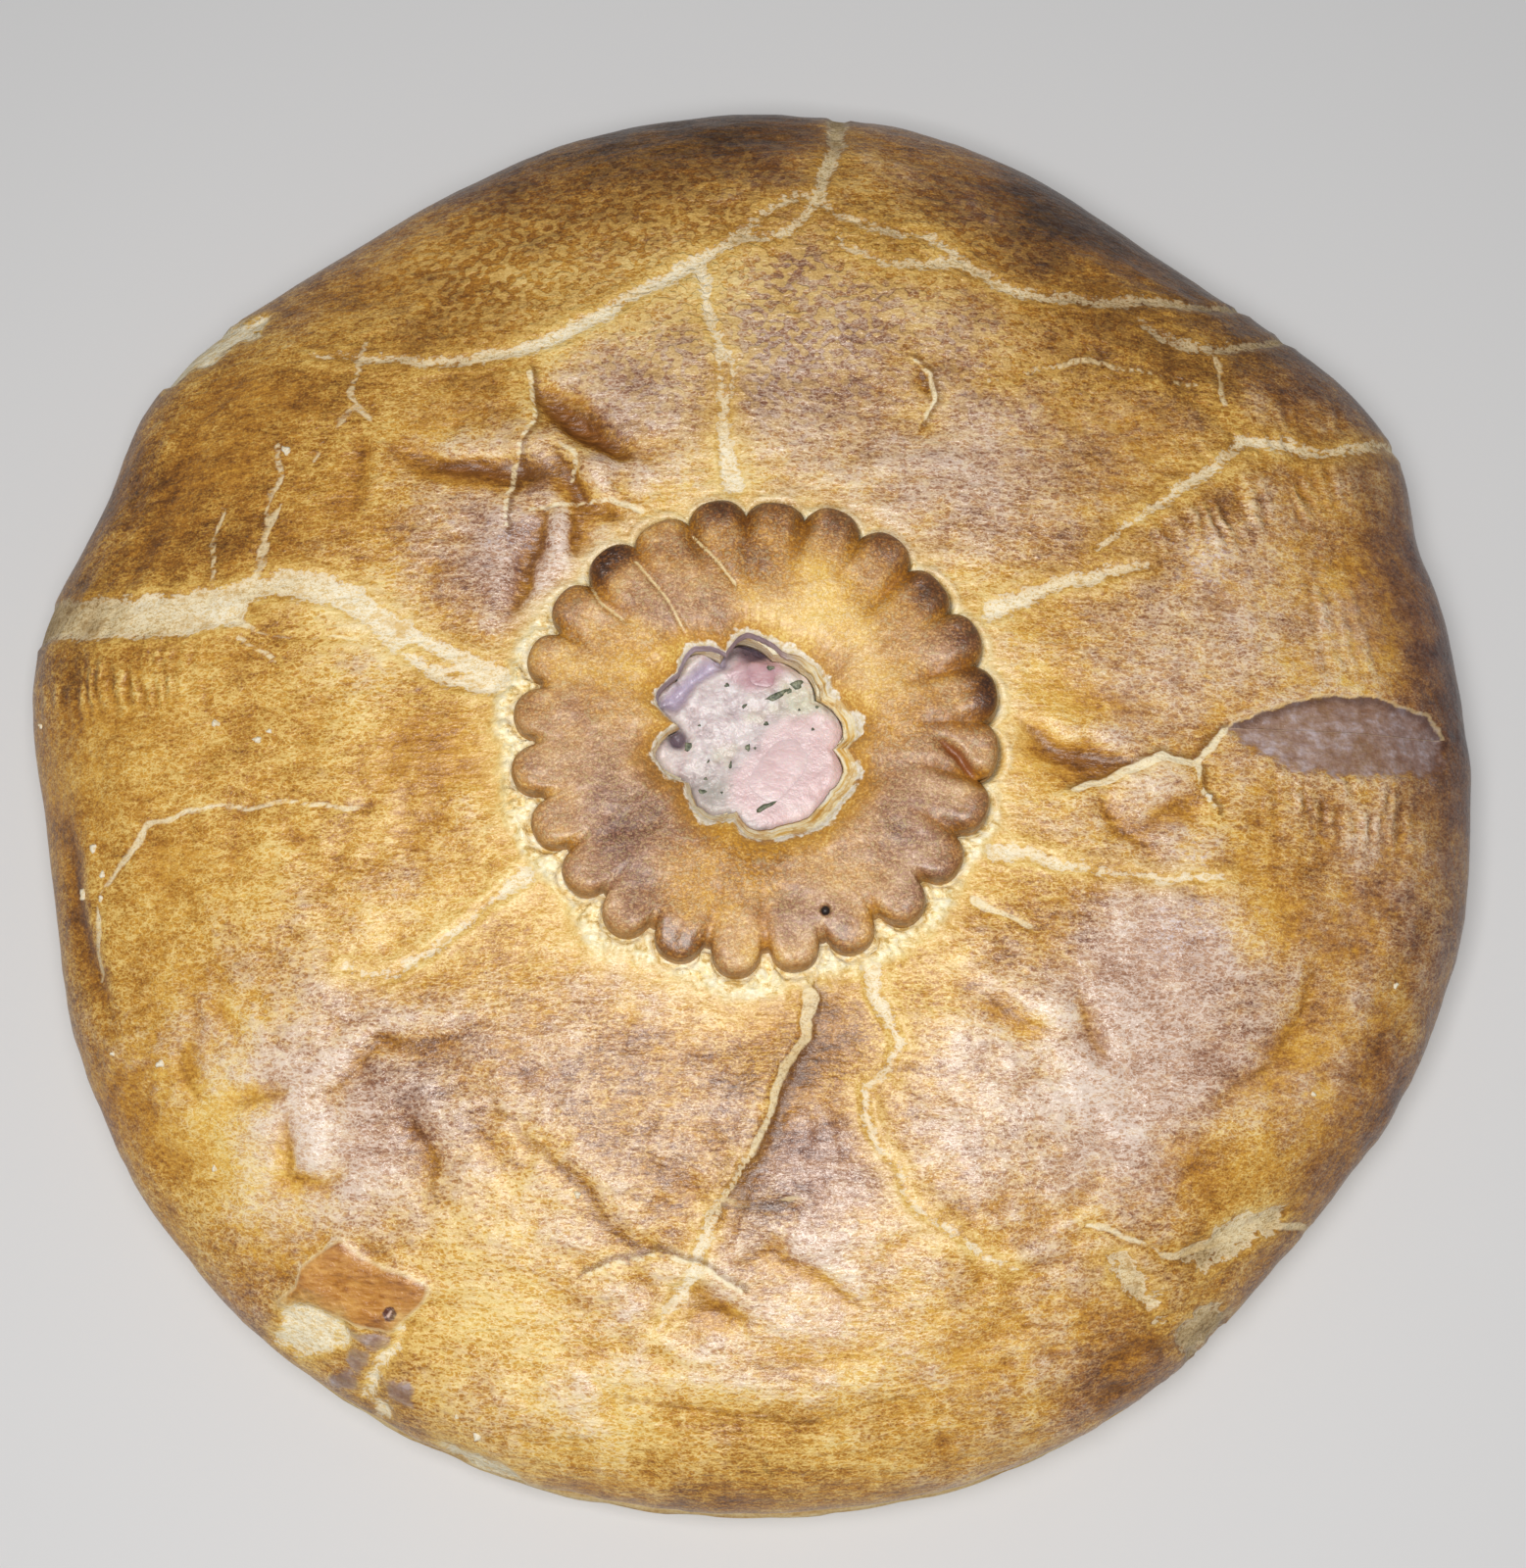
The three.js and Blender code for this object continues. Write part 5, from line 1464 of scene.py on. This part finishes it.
# %% [markdown]
# ## Chunks of meat and herbs
#
# Two chunks of whole meat show in the vent: a broad smooth pink one and a smaller red one. Each is a
# rounded block, worked out as a ball whose sines and cosines are raised to a power under one, which
# squares it off. Herbs are thin leaf scraps pressed into the surface. A rounded cube with a bevel would
# do for the chunks, but this way one formula gives the outline that the mince makes room for.

# %% Meat chunks
def block(middle, half, turn, seed, rows=40, columns=80):
    """Ball coordinates with each part kept in sign and raised to a power, scaled, roughened and turned."""
    up = np.linspace(-np.pi / 2, np.pi / 2, rows)[:, None]
    round_ = np.linspace(0, 2 * np.pi, columns, endpoint=False)[None, :]
    ball = [np.cos(up) * np.cos(round_), np.cos(up) * np.sin(round_), np.sin(up) + 0 * round_]
    x, y, z = (np.sign(part) * np.abs(part) ** CHUNK_POWER * size for part, size in zip(ball, half))
    ruffle = 0.35 * layered_noise(x / 4 + 7, y / 4 + 3, seed, 3)
    a = math.radians(turn)
    spot = [x * math.cos(a) - y * math.sin(a), x * math.sin(a) + y * math.cos(a), z + ruffle * np.cos(up)]
    return np.stack([part + place for part, place in zip(spot, (*middle[:2], under_lid + middle[2]))], -1)


def meat_finish(name, stops):
    """Smooth cooked meat with soft clouds and a wet skin."""
    f = Finish(name)
    fibre = f.grain(3, 1.2, 2, 3.0, 0.6)
    cloud = f.grain(5, 5, 5, 4.0, 0.6)
    colour = f.ramp(cloud + fibre.swing * 0.2, stops)
    return f.close(
        Base_Color=colour,
        Roughness=0.36 + fibre.swing * 0.25,
        Subsurface_Weight=0.15,
        Subsurface_Scale=0.005,
        Normal=f.bump(fibre * 0.1 + cloud * 0.4),
    )


CHUNK_COLOURS = {"pink_meat": PINK_STOPS, "red_meat": RED_STOPS}
for (node_name, shape), (slot_name, stops) in zip(CHUNKS.items(), CHUNK_COLOURS.items()):
    vertices, faces = lump_mesh(block(**shape))
    chunk = add_piece(node_name + "_piece", vertices, faces, {})
    chunk.data.materials.append(meat_finish(slot_name, stops))
    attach(chunk, "root")
    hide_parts(node_name)

# %% Herb scraps
LEAF = 0.22  # half the thickness of a scrap
# x, y, half length, half width, turn in degrees
HERBS = [
    (3.9, 8.6, 2.2, 0.65, 27), (7.6, 10.8, 1.2, 0.9, 20), (2.7, 13.9, 0.8, 0.45, 0),
    (-5.4, 10.7, 0.5, 0.4, 30), (-2.1, 6.7, 0.7, 0.3, 40), (1.9, 3.3, 0.5, 0.45, 0),
    (-1.5, -1.3, 0.5, 0.7, 0), (-12.2, -1.0, 1.2, 0.9, 10), (-9.9, -9.6, 0.8, 0.5, 0),
    (-4.7, -4.6, 0.8, 0.28, 82), (-8.8, -3.9, 0.4, 0.2, 60), (-9.3, -7.1, 0.35, 0.3, 0),
    (-6.3, -9.8, 0.25, 0.25, 0), (-0.2, -1.5, 0.25, 0.25, 0), (10.5, 2.1, 0.3, 0.3, 0),
    (8.0, 5.9, 0.25, 0.25, 0), (11.3, 6.4, 0.35, 0.3, 0), (1.7, -12.6, 2.2, 0.5, 27),
    (-10.5, 3.0, 0.3, 0.2, 0), (6.2, 9.6, 0.6, 0.4, 60),
]


def scrap_mesh(x, y, z, length, width, height, turn, rows=6, columns=12):
    """A flattened ball with a wavy edge, lying flat."""
    up = np.linspace(-np.pi / 2, np.pi / 2, rows)[:, None]
    round_ = np.linspace(0, 2 * np.pi, columns, endpoint=False)[None, :]
    wavy = 1 + 0.2 * np.sin(3 * round_ + 5 * x) + 0.12 * np.sin(5 * round_ + 3 * y)
    a = math.radians(turn)
    u, v = length * wavy * np.cos(up) * np.cos(round_), width * wavy * np.cos(up) * np.sin(round_)
    spot_x, spot_y = x + u * math.cos(a) - v * math.sin(a), y + u * math.sin(a) + v * math.cos(a)
    return lump_mesh(np.stack([spot_x, spot_y, z + height * np.sin(up) + 0 * u], -1))


def joined(name, meshes):
    """One piece from several small meshes."""
    vertices, faces, start = [], [], 0
    for points, quads in meshes:
        vertices.append(points)
        faces += [[corner + start for corner in quad] for quad in quads]
        start += len(points)
    piece = add_piece(name, np.concatenate(vertices), faces, {})
    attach(piece, "root")
    return piece


def filling_surface(x, y):
    """Height of the mince, or of a chunk where one stands."""
    x, y = np.array([x]), np.array([y])
    height = MINCE_LEVEL + mince_height(x, y)
    for chunk in CHUNKS.values():
        cover = chunk_cover(x, y, chunk["middle"], chunk["half"], chunk["turn"])
        top = under_lid + chunk["middle"][2] + chunk["half"][2]
        height = np.where(cover > 0.1, np.maximum(height, top), height)
    return float(height[0])


herbs = joined("herb_scraps", [
    scrap_mesh(x, y, filling_surface(x, y) + 0.05, length, width, LEAF, turn)
    for x, y, length, width, turn in HERBS
])
f = Finish("cooked_herbs")
leaf = f.grain(0.8, 0.8, 0.8, 2.0, 0.6)
leaf_colour = f.ramp(leaf, [(0.35, "4A503E"), (0.55, "6A705A"), (0.7, "93967E")])
leaf_finish = f.close(Base_Color=leaf_colour, Roughness=0.5 + leaf.swing * 0.2, Normal=f.bump(leaf * 0.2))
herbs.data.materials.append(leaf_finish)

# %% [markdown]
# ## Crumbs
#
# A few flakes of pale crust came loose and lie on the lid, mostly at the left. Each sits on the finished
# surface of the crust, at the grid point nearest to its place. Scattering tools would strew hundreds, but
# these few are set one by one.

# %% Crumbs on the crust
# Direction, distance, size
CRUMBS = [
    (177.4, 100, 0.9), (179.5, 92, 0.9), (178.6, 90.5, 0.6), (188, 126, 1.0), (191.5, 130, 1.2),
    (190.3, 125.5, 0.8), (192.5, 126.6, 0.7), (176.4, 136, 0.7), (147.2, 105, 1.1), (208, 123, 1.0),
    (218, 124, 0.7), (340, 127, 0.7), (249, 89, 0.8), (248, 134, 1.0), (352.8, 84.5, 0.8),
    (205, 131, 0.6), (328, 122, 0.6), (246, 132, 0.5),
]


def crust_spot(direction, distance):
    """The lid's surface point nearest to a place."""
    x, y = plan(direction, distance)
    nearest_point = np.argmin((crust_x - x) ** 2 + (crust_y - y) ** 2)
    return lid_shape[:OUTER_ROWS].reshape(-1, 3)[nearest_point]


crumbs = joined("crumbs", [
    scrap_mesh(*crust_spot(direction, distance), size, size * 0.75, size * 0.5, direction * 7)
    for direction, distance, size in CRUMBS
])
f = Finish("pale_crumbs")
flake = f.grain(0.6, 0.6, 0.6, 2.0, 0.6)
crumb_colour = f.ramp(flake, [(0.35, "DCC79A"), (0.6, "F0E8D2")])
crumbs.data.materials.append(f.close(Base_Color=crumb_colour, Roughness=0.7, Normal=f.bump(flake * 0.2)))

# %% [markdown]
# ## The base
#
# The base is the pale bottom pastry. A rounded lip of it stands out a little past the lid's wall, and at
# its edge the dough's layers show. It is a profile carried round the lid's own outline, so that the two
# stay together all the way round.

# %% Base
BASE_COLUMNS, BASE_LIP = 360, 1.2
BASE_EDGE = [(0, 0), (60, 0), (PIE_RADIUS - 2.5, 0), (PIE_RADIUS - 0.6, 0.08), (PIE_RADIUS + 0.6, 0.25),
             (PIE_RADIUS + BASE_LIP, 0.5), (PIE_RADIUS + BASE_LIP, 0.7), (PIE_RADIUS + 0.6, 0.9),
             (PIE_RADIUS - 0.4, 1), (PIE_RADIUS - 8, 1), (60, 1), (0, 1)]
edge_d, edge_z = np.array(BASE_EDGE).T
base_turn = np.linspace(0, 2 * np.pi, BASE_COLUMNS, endpoint=False)[None, :]
bump = (rim(base_turn) / PIE_RADIUS - 1) * (edge_d[:, None] / PIE_RADIUS) ** 2
base_r = edge_d[:, None] * (1 + bump)
wobble = 0.7 * layered_noise(np.cos(base_turn) * 14 + edge_z[:, None], np.sin(base_turn) * 14, 131, 4)
base_r = base_r + wobble * smooth(PIE_RADIUS - 4, PIE_RADIUS, edge_d)[:, None]
base_z = np.broadcast_to(edge_z[:, None] * base_top, base_r.shape)
base_points = np.stack([base_r * np.cos(base_turn), base_r * np.sin(base_turn), base_z], -1)
vertices, faces = lump_mesh(base_points)
base = add_piece("pastry_base", vertices, faces, {})
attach(base, "root")
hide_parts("base")


def base_finish():
    """Matt pale pastry whose thin layers show as lines along the edge."""
    f = Finish("base_pastry")
    layers = f.grain(14, 14, 0.6, 3.0, 0.6)
    fine = f.grain(0.8, 0.8, 0.8, 3.0, 0.6)
    colour = f.ramp(layers + fine.swing * 0.5, [(0.3, "B98A4A"), (0.5, "DDBE83"), (0.7, "EBD9AC")])
    return f.close(Base_Color=colour, Roughness=0.7, Normal=f.bump(layers * 0.4 + fine * 0.2))


base.data.materials.append(base_finish())

# %% [markdown]
# ## Floor, light and camera
#
# The pie stands on a plain pale floor. A broad soft lamp beside the camera lights it from the near side,
# so the near half of the glaze shines and the far half shows its own brown. The camera looks down
# steeply, close enough that the near side looks larger than the far side.

# %% Floor
FLOOR_HALF, FLOOR_LEVEL = 3.0, -0.0002  # metres; a hair below the base, so that the two never flicker
floor_mesh = bpy.data.meshes.new("floor")
corners = [(x * FLOOR_HALF, y * FLOOR_HALF, 0) for x, y in ((-1, -1), (1, -1), (1, 1), (-1, 1))]
floor_mesh.from_pydata(corners, [], [(0, 1, 2, 3)])
floor = bpy.data.objects.new("floor", floor_mesh)
floor.location.z = FLOOR_LEVEL
bpy.context.scene.collection.objects.link(floor)
floor_paint = Finish("pale_floor")
floor_mesh.materials.append(floor_paint.close(Base_Color=paint("DCDCDC"), Roughness=0.8))


# %% Lights and camera
def lamp(name, place, aim, size, watts, colour):
    """A square soft lamp at a place, turned towards a point."""
    light = bpy.data.lights.new(name, "AREA")
    light.size, light.energy, light.color = size, watts, colour
    holder = bpy.data.objects.new(name, light)
    holder.location = place
    way = np.array(aim) - np.array(place)
    tilt, heading = math.acos(-way[2] / np.linalg.norm(way)), math.atan2(way[0], -way[1]) + math.pi
    holder.rotation_euler = (tilt, 0, heading)
    bpy.context.scene.collection.objects.link(holder)


KEY_PLACE, KEY_AIM = (-0.03, -0.17, 0.80), (0, 0.0, 0.05)  # metres
KEY_SIZE, KEY_WATTS, KEY_COLOUR = 0.3, 5.6, (1.0, 0.985, 0.975)
lamp("key", KEY_PLACE, KEY_AIM, KEY_SIZE, KEY_WATTS, KEY_COLOUR)
FILL_COLOUR, FILL_STRENGTH = (0.93, 0.96, 1.0, 1), 0.14  # light from all round
world = bpy.data.worlds.new("studio")
world.use_nodes = True
world.node_tree.nodes["Background"].inputs["Color"].default_value = FILL_COLOUR
world.node_tree.nodes["Background"].inputs["Strength"].default_value = FILL_STRENGTH
bpy.context.scene.world = world
bpy.context.scene.view_settings.view_transform = "Standard"

CAMERA_PLACE = (1.3, -131.0, 582.5)  # millimetres
CAMERA_PITCH = 76.9  # degrees below the horizon
FOCAL_PIXELS, PHOTO_HEIGHT = 3000, 1600
camera_data = bpy.data.cameras.new("camera")
camera_data.sensor_width = 36.0
camera_data.lens = FOCAL_PIXELS * camera_data.sensor_width / PHOTO_HEIGHT
camera_data.clip_start = 0.01
camera = bpy.data.objects.new("camera", camera_data)
camera.location = [part * MM for part in CAMERA_PLACE]
camera.rotation_euler = (math.radians(90 - CAMERA_PITCH), 0, 0)
bpy.context.scene.collection.objects.link(camera)
bpy.context.scene.camera = camera
print("camera at", CAMERA_PLACE, "lens", round(camera_data.lens, 1))
